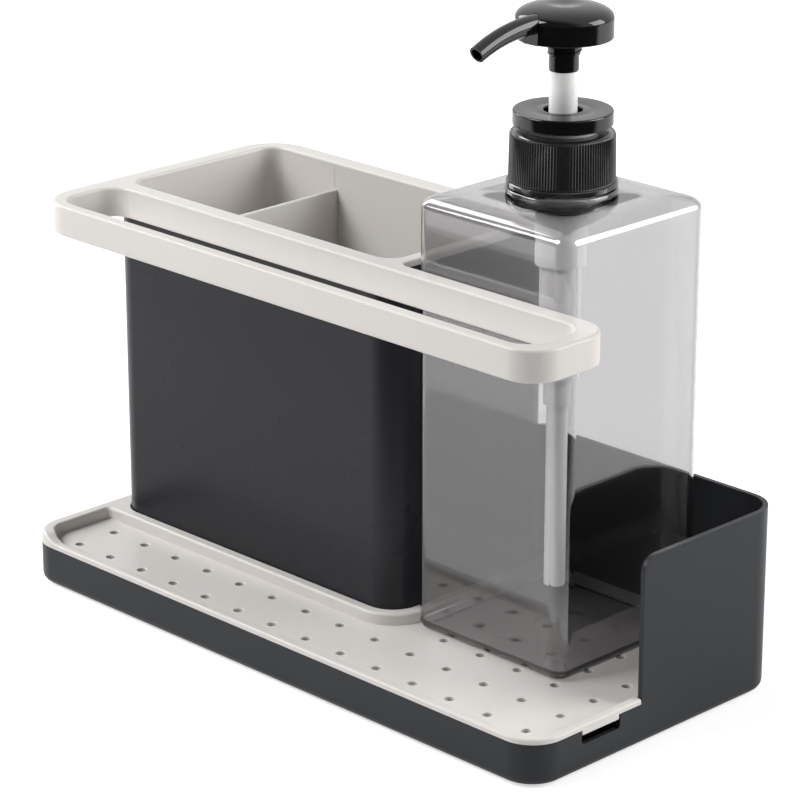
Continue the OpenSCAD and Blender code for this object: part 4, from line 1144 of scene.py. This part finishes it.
def towards_front(tree, place, way, near, far):
    """From nought at the object to one at the front, where the room and the floor's end are dark."""
    ahead = add(tree, "VectorMath", {0: place, 1: way}, operation="DOT_PRODUCT")
    return add(tree, "MapRange", {"Value": ahead.outputs["Value"], "From Min": near, "From Max": far},
               interpolation_type="SMOOTHSTEP").outputs["Result"]


def seen_straight(tree, seen):
    """One for what the camera sees straight or through glass, and nought for the rest."""
    rays = {0: seen.outputs["Is Camera Ray"], 1: seen.outputs["Is Transmission Ray"]}
    return add(tree, "Math", rays, operation="MAXIMUM").outputs[0]


def white_floor():
    """Matt white paper. What sees it straight or through glass sees it whiter, so that it fades into
    the background and still keeps the object's shadow. Mirrors see its end by the camera dark."""
    material, tree, place = new_material("white_paper_sweep")
    seen = add(tree, "LightPath")
    glossy = seen.outputs["Is Glossy Ray"]
    front = towards_front(tree, place, *FLOOR_END)
    dark = add(tree, "Math", {0: front, 1: glossy}, operation="MULTIPLY").outputs[0]
    paper = add(tree, "Mix", {"Factor": dark, "A": paint("#e9e9e9"), "B": paint("#202020")},
                data_type="RGBA")
    mirrored = add(tree, "Math", {0: glossy, 1: dark}, operation="SUBTRACT").outputs[0]
    direct = seen_straight(tree, seen)
    shown = add(tree, "Math", {0: direct, 1: FLOOR_GLOW}, operation="MULTIPLY").outputs[0]
    strength = add(tree, "Math", {0: mirrored, 1: FLOOR_MIRRORED, 2: shown}, operation="MULTIPLY_ADD")
    matt = add(tree, "BsdfDiffuse", {"Color": paper.outputs["Result"]})
    glow = add(tree, "Emission", {"Color": (1, 1, 1, 1), "Strength": strength.outputs[0]})
    both = add(tree, "AddShader", {0: matt.outputs[0], 1: glow.outputs[0]})
    add(tree, "OutputMaterial", {"Surface": both.outputs[0]})
    return material


def make_floor():
    bm = bmesh.new()
    corners = ((-HALF_FLOOR, -HALF_FLOOR), (HALF_FLOOR, -HALF_FLOOR),
               (HALF_FLOOR, HALF_FLOOR), (-HALF_FLOOR, HALF_FLOOR))
    bm.faces.new([bm.verts.new((x, y, 0)) for x, y in corners])
    floor = placed("floor", as_mesh(bm, "floor"))
    floor.data.materials.append(white_floor())


def make_world():
    """A bright, even room. Seen straight it is white, and in a mirror it is dark towards the front."""
    world = bpy.data.worlds.new("room")
    world.use_nodes = True
    tree = world.node_tree
    tree.nodes.clear()
    seen = add(tree, "LightPath")
    way = add(tree, "TexCoord").outputs["Generated"]
    front = towards_front(tree, way, *ROOM_FRONT)
    mirrored = add(tree, "MapRange", {"Value": front, "To Min": ROOM_MIRRORED, "To Max": ROOM_DARK})
    even = add(tree, "Mix", {"Factor": seen.outputs["Is Glossy Ray"], "A": ROOM_FILL,
                             "B": mirrored.outputs["Result"]})
    direct = seen_straight(tree, seen)
    strength = add(tree, "Mix", {"Factor": direct, "A": even.outputs["Result"], "B": 1.0})
    room = add(tree, "Background", {"Color": (1, 1, 1, 1), "Strength": strength.outputs["Result"]})
    add(tree, "OutputWorld", {"Surface": room.outputs[0]})
    bpy.context.scene.world = world


def soft_box(name, place, size, watts):
    """A flat lamp that faces the middle of the object."""
    light = bpy.data.lights.new(name, "AREA")
    light.shape = "RECTANGLE"
    light.size, light.size_y = size
    light.energy = watts
    lamp = placed(name, light)
    lamp.location = place
    lamp.rotation_euler = (AIM - Vector(place)).to_track_quat("-Z", "Y").to_euler()


def make_camera():
    camera = bpy.data.cameras.new("camera")
    camera.sensor_fit = "HORIZONTAL"
    camera.sensor_width = SENSOR_MM
    camera.lens = SENSOR_MM * LENS_PIXELS / PICTURE_PIXELS
    camera.clip_end = 50
    view = placed("camera", camera)
    view.location = CAMERA_PLACE
    yaw = math.radians(CAMERA_YAW)
    pitch = math.radians(CAMERA_PITCH)
    ahead = Vector((-math.sin(yaw) * math.cos(pitch), math.cos(yaw) * math.cos(pitch), -math.sin(pitch)))
    view.rotation_euler = ahead.to_track_quat("-Z", "Y").to_euler()
    bpy.context.scene.camera = view


make_floor()
make_world()
soft_box("key_box", place=(-0.72, -1.1, 1.25), size=(0.9, 0.9), watts=23.0)
soft_box("left_box", place=(-1.4, -0.1, 1.0), size=(0.6, 1.2), watts=13.0)
soft_box("right_box", place=(1.2, 0.95, 0.75), size=(1.0, 1.2), watts=23.0)
make_camera()
bpy.context.scene.view_settings.view_transform = "Standard"
